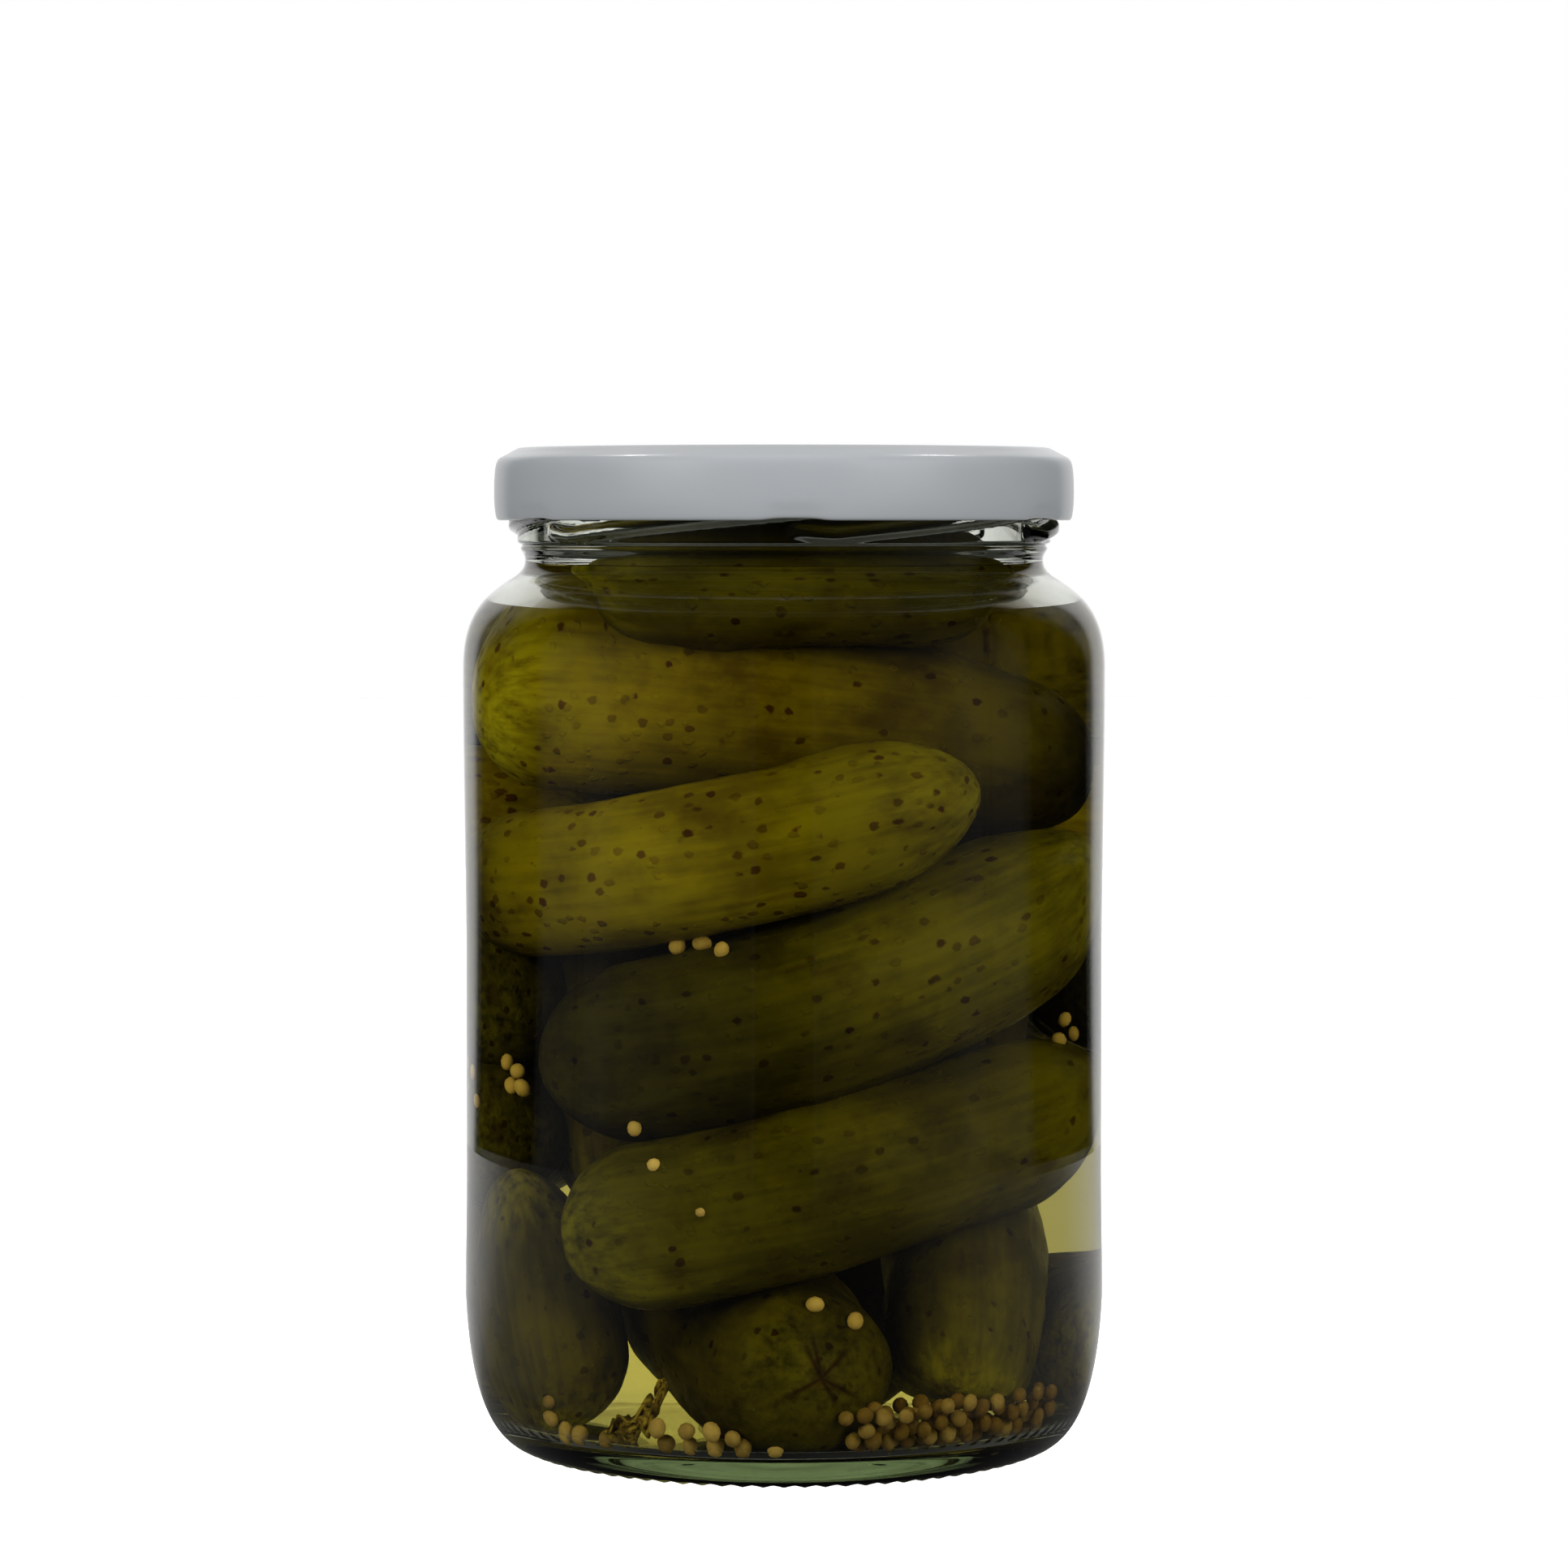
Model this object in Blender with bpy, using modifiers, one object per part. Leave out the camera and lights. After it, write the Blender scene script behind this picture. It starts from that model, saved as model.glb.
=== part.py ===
"""A closed glass jar of pickled gherkins: the glass, its twist-off lid, the gherkins and the mustard seeds.

Metres, +Z up. The jar stands on z = 0 with its axis on Z, and its front faces -Y. An azimuth is an angle about
that axis, 0 at the front and growing towards +X.
"""

import math
import random
from dataclasses import dataclass

import bmesh
import bpy
import numpy as np
from mathutils import Vector

MM = 0.001
WELD = 0.01 * MM
TURN_STEPS = 48

# Curves of the turned profiles, as (radius, height) in millimetres: start, its handle, end's handle, end
FLOOR_CURVE = ((0, 7.2), (14, 7.2), (24, 5.2), (35, 5.2))
CORNER_CURVE = ((35, 5.2), (42, 5), (44.6, 11), (44.75, 24))
INNER_SHOULDER_CURVE = ((44.75, 114), (44.75, 120.4), (41.9, 122.8), (38.6, 124.9))
THROAT_CURVE = ((38.6, 124.9), (36, 126.6), (35.4, 128), (35.4, 130))
LIP_INNER_CURVE = ((35.4, 144.4), (35.4, 145.4), (35.7, 146), (36.4, 146))
LIP_OUTER_CURVE = ((36.4, 146), (37.6, 146), (38.4, 145.2), (39.2, 142))
FILLET_CURVE = ((38.1, 130.2), (38.1, 129), (38.9, 128.3), (40.5, 127.4))
SHOULDER_CURVE = ((40.5, 127.4), (43.9, 125.2), (47.25, 122.5), (47.25, 114.5))
HEEL_CURVE = ((47.15, 22), (46.6, 8), (43.4, 0.3), (38.5, 0))
DOME_CURVE = ((33.6, 1.6), (26, 1.8), (14, 4), (0, 4))

# Straight stretches of the glass's outside, in millimetres
FINISH_RADIUS, FINISH_LOW = 39.2, 133.0
BEAD, NECK_TOP = (38.6, 132.4), (38.1, 131.7)
PANEL_RADIUS, PANEL_HIGH, PANEL_LOW = 46.95, 73.0, 41.0
RING_INNER = 35.5  # of the flat ring that the jar stands on

# The six thread ramps on the mouth
STARTS = 6
THREAD_FIRST, THREAD_SPAN, THREAD_DIP = -58.7, 70.0, 9.0  # degrees
THREAD_LOW, THREAD_CLIMB = 134.05 * MM, 0.068 * MM  # height of the dip, and the climb for each degree
THREAD_THICK, THREAD_STAND_OFF = 1.15 * MM, 0.25 * MM
THREAD_TIP = 0.35  # of its thickness

# The lid's sheet, as (radius, height) in millimetres: outside from the axis to the curl, then inside back
LID_TOP = ((0, 146.3), (19, 146.3), (20, 146.55), (21, 146.1), (33, 146.1), (34.5, 146.8), (38.6, 146.8))
LID_SLOPE = ((39.3, 146.6), (40.4, 146.0), (41.6, 145.4), (42.05, 145.0), (42.35, 144.2))
LID_SKIRT = ((42.55, 142.4), (42.6, 140.1), (42.5, 137.6))
LID_CURL = ((42.3, 136.65), (41.9, 136.2), (41.35, 136.2), (41.05, 136.7))
LID_INSIDE = ((41.75, 137.8), (42.1, 140.5), (42.0, 142.5), (41.7, 144.1), (41.2, 144.9), (40.1, 145.5))
LID_UNDER = ((39.0, 146.1), (38.5, 146.3), (34.9, 146.3), (33.2, 145.6), (0, 145.6))
LUG_FIRST, LUG_WIDTH = 2.0, 6.0  # degrees
LUG_DEPTH, LUG_LIFT = 0.45 * MM, 0.35 * MM
LUG_TOP, CURL_INNER, CURL_OUTER_RADIUS = 137.7 * MM, 136.4 * MM, 41.5 * MM

# What is inside
CLEARANCE = 0.45 * MM  # to the true inner surface, as the facets of the glass lie inside it
SIDES, RINGS = 12, 9
WAIST = 0.07  # how much slimmer a gherkin's outline is at its tips than at its middle
PRESS_STEP = 0.04 * MM  # so that no two gherkins are pressed to quite the same surface
STEEP = 0.7  # rise for its length, past which a gherkin counts as standing
CORE_RADIUS, CORE_LOW, CORE_HIGH = 15.0 * MM, 14.0 * MM, 119.0 * MM
SEED_RADIUS = 1.25 * MM
SEED_SINK = 0.35  # of a seed's radius, into what it lies on
SEED_LIFT = 0.07 * MM  # so that no seed is pressed to quite the same surface as the bar under it
HEAP_FIRST, HEAP_LAST = -54.0, 60.0  # azimuths of the ends of the seeds on the floor
HEAP_RADIUS, HEAP_FLOOR = 39.6 * MM, 6.1 * MM  # the bar's outer radius and underside
HEAP_THICK_FROM, HEAP_SLOPE = 10.0, 8.0  # where the deep part starts and how long its ends are, in degrees
HEAP_THIN, HEAP_THICK = 0.8 * MM, 2.5 * MM
# Room that the gherkins leave the seeds: from this radius outwards, degrees past each end, and above the bar
BED_INNER, BED_MARGIN, BED_CLEARANCE = 30.0 * MM, 5.0, 2.2 * MM
LEANS_DEEP, LEANS_THIN = (18, 72, 126), (58,)  # degrees above the level of the rows of seeds
STEPS_DEEP, STEPS_THIN = (4.1, 4.8), (4.5, 9.0)  # least and most degrees from seed to seed


@dataclass(frozen=True)
class Gherkin:
    """One gherkin: its two tips and the middle of its bent axis in millimetres, and its thickest radius."""

    tip: tuple[float, float, float]
    middle: tuple[float, float, float]
    end: tuple[float, float, float]
    radius: float
    cap: float = 1.25  # how long each rounded end is, in radii


GHERKINS = (
    # The front, from the top down
    Gherkin((-27, -12, 126.5), (1, -20.5, 127), (30.5, -13, 126.5), 10.3),
    Gherkin((-41, -6, 110), (-2, -14, 107.5), (41, -8, 99), 12.3),
    Gherkin((-38, 6, 82.5), (-12, -31.4, 88), (24.8, -25, 98.7), 10.8, 1.5),
    Gherkin((-31.5, -22, 59.5), (3, -30, 67.2), (41, -2, 86), 13.3),
    Gherkin((-29, -27, 34), (4, -31.5, 42), (41, 0, 52.7), 12.3),
    # The floor, from left to right
    Gherkin((-27.3, -18, 6), (-30.8, -16, 20), (-33.5, -10, 42), 11.4),
    Gherkin((5, -42, 16.5), (-2.5, -22, 18.5), (-13, 8, 31), 12.8),
    Gherkin((22, -24, 10.5), (22.5, -16, 22), (19, 5, 42), 10.5),
    Gherkin((38, -9, 15.5), (35, 9, 15.5), (14, 32, 16), 10.0),
    # The sides
    Gherkin((-38, -11, 67), (-32, 9, 65), (-14, 33, 62), 12.2),
    Gherkin((-37.5, -13, 47.5), (-34, 4, 46), (-22, 28, 43), 11.2),
    Gherkin((39, -2, 69), (33, 17, 68.5), (8, 33, 67), 12.3),
    # The back and the inside
    Gherkin((-30, 24, 113), (0, 31.5, 114), (31, 22, 112), 11.5),
    Gherkin((-36, 12, 92), (-4, 31, 90), (32, 24, 88), 12.4),
    Gherkin((6, 30, 8), (3, 32, 28), (-4, 30, 52), 11.5),
    Gherkin((-26, 18, 7), (-27, 21, 21), (-26, 23, 38), 11.4),
    Gherkin((2, 1, 41), (0, 4, 69), (-3, 4, 95), 12.0),
    Gherkin((-26, 8, 101), (2, 7, 102), (30, 9, 95), 11.0),
    Gherkin((-22, 13, 125), (1, 16.5, 126), (25, 13, 125), 10.0),
    Gherkin((-8, 8, 14), (8, 13, 19), (17, 14, 55), 9.5),
)

# Seeds that rest on a gherkin: (gherkin, share of its length, azimuth and lift of the side they lie on)
SEEDS_ON_GHERKINS = (
    (3, 0.30, -8, 60),
    (3, 0.34, -8, 62),
    (3, 0.38, -4, 58),
    (4, 0.10, -15, 58),
    (4, 0.20, -6, 22),
    (4, 0.28, 0, -12),
    (6, 0.10, 3, 62),
    (6, 0.12, 38, 42),
    (4, 0.88, 62, 58),
    (4, 0.93, 70, 60),
    (4, 0.90, 55, 40),
    (9, 0.05, -60, 5),
    (9, 0.09, -75, -5),
    (9, 0.05, -75, -25),
    (9, 0.10, -80, 20),
)


def clear_objects():
    """Removes what the scene holds."""
    for thing in list(bpy.data.objects):
        bpy.data.objects.remove(thing)


def collection_named(name):
    """A new collection in the scene."""
    group = bpy.data.collections.new(name)
    bpy.context.scene.collection.children.link(group)
    return group


def finish(name, colour, roughness, metallic=0.0, transmission=0.0):
    """A Principled material."""
    material = bpy.data.materials.new(name)
    material.use_nodes = True
    shader = material.node_tree.nodes["Principled BSDF"]
    shader.inputs["Base Color"].default_value = (*colour, 1.0)
    shader.inputs["Roughness"].default_value = roughness
    shader.inputs["Metallic"].default_value = metallic
    shader.inputs["Transmission Weight"].default_value = transmission
    return material


def bezier(curve, pieces):
    """The points of a cubic curve after its start, in metres."""
    start, pull_out, pull_in, end = (np.array(point) * MM for point in curve)
    share = np.linspace(0.0, 1.0, pieces + 1)[1:, None]
    back = 1.0 - share
    points = back**3 * start + 3 * back**2 * share * pull_out + 3 * back * share**2 * pull_in + share**3 * end
    return [tuple(point) for point in points]


def in_metres(*points):
    """Points given in millimetres, in metres."""
    return [(radius * MM, height * MM) for radius, height in points]


def cavity_profile():
    """The inner surface of the glass, from the middle of the floor up to the bore."""
    points = in_metres(FLOOR_CURVE[0])
    points += bezier(FLOOR_CURVE, 2) + bezier(CORNER_CURVE, 4)
    points += in_metres(INNER_SHOULDER_CURVE[0])
    return points + bezier(INNER_SHOULDER_CURVE, 4) + bezier(THROAT_CURVE, 2)


def mouth_profile():
    """The rounded rim, from the bore over its top to the outside."""
    return in_metres(LIP_INNER_CURVE[0]) + bezier(LIP_INNER_CURVE, 2) + bezier(LIP_OUTER_CURVE, 3)


def outer_profile():
    """The outside of the glass, from under the thread down to the middle of its underside."""
    points = in_metres((FINISH_RADIUS, FINISH_LOW), BEAD, NECK_TOP, FILLET_CURVE[0])
    points += bezier(FILLET_CURVE, 2) + bezier(SHOULDER_CURVE, 4)
    points += in_metres((PANEL_RADIUS, PANEL_HIGH), (PANEL_RADIUS, PANEL_LOW), HEEL_CURVE[0])
    points += bezier(HEEL_CURVE, 4) + in_metres((RING_INNER, 0), DOME_CURVE[0])
    return points + bezier(DOME_CURVE, 2)


def lid_profile():
    """The lid's sheet: its top and skirt from the axis outwards, round the curl, and back underneath."""
    return in_metres(*LID_TOP, *LID_SLOPE, *LID_SKIRT, *LID_CURL, *LID_INSIDE, *LID_UNDER)


def turned(name, profile, group, material):
    """A solid of revolution about Z: a profile of (radius, height) points under a Screw modifier."""
    mesh = bpy.data.meshes.new(name)
    outline = bmesh.new()
    corners = [outline.verts.new((radius, 0.0, height)) for radius, height in profile]
    for first, second in zip(corners, corners[1:]):
        outline.edges.new((first, second))
    outline.to_mesh(mesh)
    outline.free()
    solid = bpy.data.objects.new(name, mesh)
    group.objects.link(solid)
    screw = solid.modifiers.new("turn", "SCREW")
    screw.steps = screw.render_steps = TURN_STEPS
    screw.use_merge_vertices = True
    screw.merge_threshold = WELD
    solid.data.materials.append(material)
    return solid


def bake(thing, weld=WELD):
    """Turns an object, with its modifiers or its curve, into plain mesh, and returns the new object."""
    evaluated = thing.evaluated_get(bpy.context.evaluated_depsgraph_get())
    mesh = bpy.data.meshes.new_from_object(evaluated)
    if weld:
        form = bmesh.new()
        form.from_mesh(mesh)
        bmesh.ops.remove_doubles(form, verts=form.verts, dist=weld)
        form.to_mesh(mesh)
        form.free()
    name, groups = thing.name, list(thing.users_collection)
    bpy.data.objects.remove(thing)
    plain = bpy.data.objects.new(name, mesh)
    for group in groups:
        group.objects.link(plain)
    return plain


def smooth(solid, angle=40.0):
    """Smooth shading with sharp edges past an angle in degrees."""
    solid.data.shade_smooth()
    solid.data.set_sharp_from_angle(angle=math.radians(angle))


def keep_one_body(mesh):
    """Drops all but the largest shell, so that scraps go and sealed hollows are filled."""
    form = bmesh.new()
    form.from_mesh(mesh)
    left, shells = set(form.faces), []
    while left:
        shell, edge_of_shell = set(), [left.pop()]
        while edge_of_shell:
            face = edge_of_shell.pop()
            shell.add(face)
            for edge in face.edges:
                for neighbour in edge.link_faces:
                    if neighbour in left:
                        left.remove(neighbour)
                        edge_of_shell.append(neighbour)
        shells.append(shell)
    largest = max(shells, key=len)
    scraps = [face for face in form.faces if face not in largest]
    bmesh.ops.delete(form, geom=scraps, context="FACES")
    form.to_mesh(mesh)
    form.free()


def fuse(target, pieces, solver="EXACT"):
    """Joins pieces to target with one Boolean union, applied, and removes them."""
    group = collection_named("fusing")
    for piece in pieces:
        for holder in list(piece.users_collection):
            holder.objects.unlink(piece)
        group.objects.link(piece)
    union = target.modifiers.new("fuse", "BOOLEAN")
    union.operation, union.operand_type, union.collection = "UNION", "COLLECTION", group
    union.solver = solver
    solid = bake(target, weld=0.0)
    for piece in pieces:
        bpy.data.objects.remove(piece)
    bpy.data.collections.remove(group)
    keep_one_body(solid.data)
    return solid


def on_circle(azimuth, radius, height):
    """The point at an azimuth in degrees, a distance from the jar's axis and a height."""
    angle = math.radians(azimuth)
    return Vector((radius * math.sin(angle), -radius * math.cos(angle), height))


def thread_ramp(number, group):
    """One thread ramp: a short dip at its low end and a steady climb, round in section and tapered."""
    first = THREAD_FIRST + number * 360.0 / STARTS
    curve = bpy.data.curves.new("ramp", "CURVE")
    curve.dimensions, curve.bevel_depth, curve.bevel_resolution = "3D", THREAD_THICK, 1
    curve.use_fill_caps = True
    turns = np.linspace(0.0, THREAD_SPAN, 10)
    path = curve.splines.new("POLY")
    path.points.add(len(turns) - 1)
    for point, turn in zip(path.points, turns):
        past_dip = turn - THREAD_DIP
        height = THREAD_LOW + THREAD_CLIMB * abs(past_dip)
        point.co = (*on_circle(first + turn, FINISH_RADIUS * MM + THREAD_STAND_OFF, height), 1.0)
        point.radius = min(1.0, THREAD_TIP + turn / THREAD_DIP)
    ramp = bpy.data.objects.new("ramp", curve)
    group.objects.link(ramp)
    return bake(ramp)


def make_glass(group):
    """The jar: one turned wall from the floor to the mouth, with the thread ramps on the mouth."""
    material = finish("glass", (0.86, 0.93, 0.89), 0.05, transmission=0.95)
    profile = cavity_profile() + mouth_profile() + outer_profile()
    jar = turned("glass_jar", profile, group, material)
    jar = fuse(bake(jar), [thread_ramp(number, group) for number in range(STARTS)])
    smooth(jar)
    return jar


def make_lid(group):
    """The lid: a thin turned sheet whose curl is drawn in and up at each of its six lugs."""
    material = finish("lid_enamel", (0.42, 0.44, 0.45), 0.35)
    lid = bake(turned("lid", lid_profile(), group, material))
    pitch = 360.0 / STARTS
    for corner in lid.data.vertices:
        x, y, height = corner.co
        if height > LUG_TOP:
            continue
        azimuth = math.degrees(math.atan2(x, -y)) - LUG_FIRST
        away = (azimuth + pitch / 2) % pitch - pitch / 2
        pinch = math.exp(-((away / LUG_WIDTH) ** 2))
        radius = math.hypot(x, y)
        drawn_in = (radius - pinch * LUG_DEPTH * (radius > CURL_OUTER_RADIUS)) / radius
        lift = pinch * LUG_LIFT * (height < CURL_INNER)
        corner.co = (x * drawn_in, y * drawn_in, height + lift)
    smooth(lid)
    return lid


def bed_top(azimuth, radius):
    """The height that clears the seeds on the floor, or zero away from them."""
    if radius < BED_INNER or not HEAP_FIRST - BED_MARGIN < azimuth < HEAP_LAST + BED_MARGIN:
        return 0.0
    return HEAP_FLOOR + 2.0 * heap_centre(azimuth)[1] + BED_CLEARANCE


def keep_inside(mesh, extra=0.0, over_seeds=False):
    """Presses a mesh into the cavity: points past the wall, the floor or the seeds move onto them."""
    radii, heights = (np.array(values) for values in zip(*cavity_profile()))
    wall = heights.argmin()
    for corner in mesh.vertices:
        x, y, height = corner.co
        radius = math.hypot(x, y)
        low = float(np.interp(radius, radii[: wall + 1], heights[: wall + 1])) + CLEARANCE + extra
        if over_seeds:
            low = max(low, bed_top(math.degrees(math.atan2(x, -y)), radius))
        height = max(height, low)
        near = (height - CLEARANCE, height + CLEARANCE)
        most = float(np.interp(near, heights[wall:], radii[wall:]).min()) - CLEARANCE - extra
        if radius > most:
            x, y = x * most / radius, y * most / radius
        corner.co = (x, y, height)


def spine(gherkin, share):
    """The point and direction at a share of a gherkin's length, on the curve through its three points."""
    tip, middle, end = (Vector(place) * MM for place in (gherkin.tip, gherkin.middle, gherkin.end))
    bend = 2.0 * middle - 0.5 * (tip + end)
    back = 1.0 - share
    place = back * back * tip + 2.0 * back * share * bend + share * share * end
    along = 2.0 * back * (bend - tip) + 2.0 * share * (end - bend)
    return place, along.normalized()


def girth(gherkin, share):
    """A gherkin's radius at a share of its length: full along the middle and rounded at each end."""
    length = math.dist(gherkin.tip, gherkin.middle) + math.dist(gherkin.middle, gherkin.end)
    from_end = length * min(share, 1.0 - share) / (gherkin.cap * gherkin.radius)
    outline = math.sqrt(1.0 - max(1.0 - from_end, 0.0) ** 2) * (1.0 - WAIST * (2.0 * share - 1.0) ** 2)
    return gherkin.radius * MM * outline


def gherkin_solid(number, group):
    """One gherkin: a sphere drawn out along the bent axis to a blunt outline, and pressed to the glass."""
    gherkin = GHERKINS[number]
    form = bmesh.new()
    bmesh.ops.create_uvsphere(form, u_segments=SIDES, v_segments=RINGS, radius=1.0)
    whole = (Vector(gherkin.end) - Vector(gherkin.tip)).normalized()
    level = Vector((0, 0, 1)) if abs(whole.z) < STEEP else Vector((0, 1, 0))
    for corner in form.verts:
        share = 0.5 + 0.5 * math.sin(math.radians(90.0) * max(-1.0, min(1.0, corner.co.z)))
        place, along = spine(gherkin, share)
        side = along.cross(level).normalized()
        up = along.cross(side)
        across = Vector((corner.co.x, corner.co.y))
        if across.length > 1e-6:
            across.normalize()
            place = place + (side * across.x + up * across.y) * girth(gherkin, share)
        corner.co = place
    mesh = bpy.data.meshes.new("gherkin")
    form.to_mesh(mesh)
    form.free()
    keep_inside(mesh, number * PRESS_STEP, over_seeds=True)
    solid = bpy.data.objects.new("gherkin", mesh)
    group.objects.link(solid)
    return solid


def seed_solid(place, group):
    """One mustard seed: a faceted ball."""
    form = bmesh.new()
    bmesh.ops.create_icosphere(form, subdivisions=1, radius=SEED_RADIUS)
    bmesh.ops.translate(form, verts=form.verts, vec=place)
    mesh = bpy.data.meshes.new("seed")
    form.to_mesh(mesh)
    form.free()
    keep_inside(mesh, SEED_LIFT)
    solid = bpy.data.objects.new("seed", mesh)
    group.objects.link(solid)
    return solid


def seed_on_gherkin(rule, group):
    """A seed that rests on a gherkin's skin, on the side that its azimuth and lift give."""
    number, share, azimuth, lift = rule
    place, along = spine(GHERKINS[number], share)
    level = math.cos(math.radians(lift))
    towards = on_circle(azimuth, level, math.sin(math.radians(lift)))
    outwards = (towards - along * towards.dot(along)).normalized()
    reach = girth(GHERKINS[number], share) + SEED_RADIUS * (1.0 - SEED_SINK)
    return seed_solid(place + outwards * reach, group)


def make_gherkins(group):
    """The heap: a plain core, with every gherkin and the seeds that rest on them fused to it."""
    material = finish("gherkin_skin", (0.13, 0.12, 0.015), 0.4)
    form = bmesh.new()
    height = CORE_HIGH - CORE_LOW
    bmesh.ops.create_cone(
        form, cap_ends=True, segments=SIDES, radius1=CORE_RADIUS, radius2=CORE_RADIUS, depth=height
    )
    bmesh.ops.translate(form, verts=form.verts, vec=(0, 0, CORE_LOW + height / 2))
    mesh = bpy.data.meshes.new("gherkins")
    form.to_mesh(mesh)
    form.free()
    core = bpy.data.objects.new("gherkins", mesh)
    core.data.materials.append(material)
    group.objects.link(core)
    pieces = [gherkin_solid(number, group) for number in range(len(GHERKINS))]
    pieces += [seed_on_gherkin(rule, group) for rule in SEEDS_ON_GHERKINS]
    heap = fuse(core, pieces, "MANIFOLD")
    smooth(heap, 50.0)
    return heap


def heap_centre(azimuth):
    """The middle and half thickness of the seeds on the floor at an azimuth."""
    from_start, to_end = azimuth - HEAP_THICK_FROM, HEAP_LAST + HEAP_SLOPE / 4 - azimuth
    rise = min(max(from_start / HEAP_SLOPE, 0.0), max(to_end / HEAP_SLOPE, 0.0), 1.0)
    thick = HEAP_THIN + (HEAP_THICK - HEAP_THIN) * rise
    return on_circle(azimuth, HEAP_RADIUS - thick * 0.9, HEAP_FLOOR + thick), thick


def heap_core(group):
    """A thin bar that follows the corner of the floor and thickens under the deep part of the seeds."""
    curve = bpy.data.curves.new("mustard_seeds", "CURVE")
    curve.dimensions, curve.bevel_depth, curve.bevel_resolution = "3D", 1.0, 1
    curve.use_fill_caps = True
    azimuths = np.linspace(HEAP_FIRST, HEAP_LAST, 22)
    path = curve.splines.new("POLY")
    path.points.add(len(azimuths) - 1)
    for point, azimuth in zip(path.points, azimuths):
        place, thick = heap_centre(azimuth)
        point.co, point.radius = (*place, 1.0), thick
    bar = bpy.data.objects.new("mustard_seeds", curve)
    group.objects.link(bar)
    core = bake(bar)
    keep_inside(core.data)
    return core


def make_seeds(group):
    """The mustard seeds on the floor: the bar with seeds set into its skin, most of them on the right."""
    draw = random.Random(7)
    core = heap_core(group)
    seeds, azimuth = [], HEAP_FIRST
    while azimuth < HEAP_LAST:
        place, thick = heap_centre(azimuth)
        deep = thick > (HEAP_THIN + HEAP_THICK) / 2
        outwards = on_circle(azimuth, 1.0, 0.0)
        for lean in LEANS_DEEP if deep else LEANS_THIN:
            slope = math.radians(lean + draw.uniform(-8, 8))
            reach = thick + SEED_RADIUS * (1.0 - SEED_SINK) * (0.55 if deep else 0.35)
            aside = outwards * math.cos(slope) + Vector((0, 0, math.sin(slope)))
            seeds.append(seed_solid(place + aside * reach, group))
        azimuth += draw.uniform(*(STEPS_DEEP if deep else STEPS_THIN))
    heap = fuse(core, seeds, "MANIFOLD")
    heap.data.materials.clear()
    heap.data.materials.append(finish("mustard_seed", (0.42, 0.30, 0.09), 0.5))
    smooth(heap, 50.0)
    return heap


def main():
    """Builds the jar."""
    clear_objects()
    group = collection_named("gherkin jar")
    make_glass(group)
    make_lid(group)
    make_gherkins(group)
    make_seeds(group)


main()
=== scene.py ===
"""A closed jar of pickled gherkins, dressed round its fixed frame.

Metres, +Z up, the jar's axis on Z and its front towards -Y. An azimuth is an angle about that axis, 0 at the
front and growing towards +X.
"""

import logging
import math
import random
from collections.abc import Sequence
from dataclasses import dataclass, field
from enum import Enum
from functools import cache

import bmesh
import bpy
import numpy as np
from bmesh.types import BMesh
from bpy.types import Material, Mesh, Node, NodeSocket, NodeTree, Object
from mathutils import Matrix, Vector
from mathutils.bvhtree import BVHTree


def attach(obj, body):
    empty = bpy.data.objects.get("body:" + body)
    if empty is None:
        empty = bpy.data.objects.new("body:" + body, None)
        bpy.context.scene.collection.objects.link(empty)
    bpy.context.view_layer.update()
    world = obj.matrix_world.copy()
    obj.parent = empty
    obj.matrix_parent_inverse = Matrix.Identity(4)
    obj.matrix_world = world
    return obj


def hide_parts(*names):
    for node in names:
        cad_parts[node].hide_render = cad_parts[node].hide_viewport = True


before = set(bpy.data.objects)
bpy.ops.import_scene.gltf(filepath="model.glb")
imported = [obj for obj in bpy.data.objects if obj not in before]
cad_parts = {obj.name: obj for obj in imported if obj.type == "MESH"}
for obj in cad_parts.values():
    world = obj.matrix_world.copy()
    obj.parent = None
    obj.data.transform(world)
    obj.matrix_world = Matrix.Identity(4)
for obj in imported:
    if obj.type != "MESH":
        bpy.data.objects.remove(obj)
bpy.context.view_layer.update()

MM = 0.001
LOG = logging.getLogger("gherkin_jar")
Point = tuple[float, float]
# of (radius, height) in mm: the start, its handle, the end's handle and the end
Curve = tuple[Point, Point, Point, Point]


# --- Colours, nodes and meshes ---
def linear(code: str) -> tuple[float, float, float, float]:
    """Turns an sRGB colour into linear light.

    Args:
        code: six hex digits, such as "8fa3b0".

    Returns:
        Red, green, blue and an alpha of 1.
    """
    parts = [int(code[place : place + 2], 16) / 255.0 for place in (0, 2, 4)]
    red, green, blue = (c / 12.92 if c <= 0.04045 else ((c + 0.055) / 1.055) ** 2.4 for c in parts)
    return red, green, blue, 1.0


def add_node(tree: NodeTree, kind: str, settings: dict | None = None, links: dict | None = None) -> Node:
    """Adds a node with its settings and links.

    Args:
        tree: the node tree.
        kind: the node's type, without its "ShaderNode".
        settings: values by name. A lower-case name is the node's own setting, any other is an input.
        links: the socket that feeds each input.

    Returns:
        The node.
    """
    node = tree.nodes.new("ShaderNode" + kind)
    for name, value in (settings or {}).items():
        if isinstance(name, str) and name.islower():
            setattr(node, name, value)
        else:
            node.inputs[name].default_value = value
    for name, source in (links or {}).items():
        tree.links.new(source, node.inputs[name])
    return node


def new_material(name: str) -> tuple[Material, NodeTree, Node]:
    """Makes an empty material.

    Args:
        name: the material's name.

    Returns:
        The material, its node tree and its output node.
    """
    material = bpy.data.materials.new(name)
    material.use_nodes = True
    tree = material.node_tree
    tree.nodes.clear()
    return material, tree, add_node(tree, "OutputMaterial")


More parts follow.
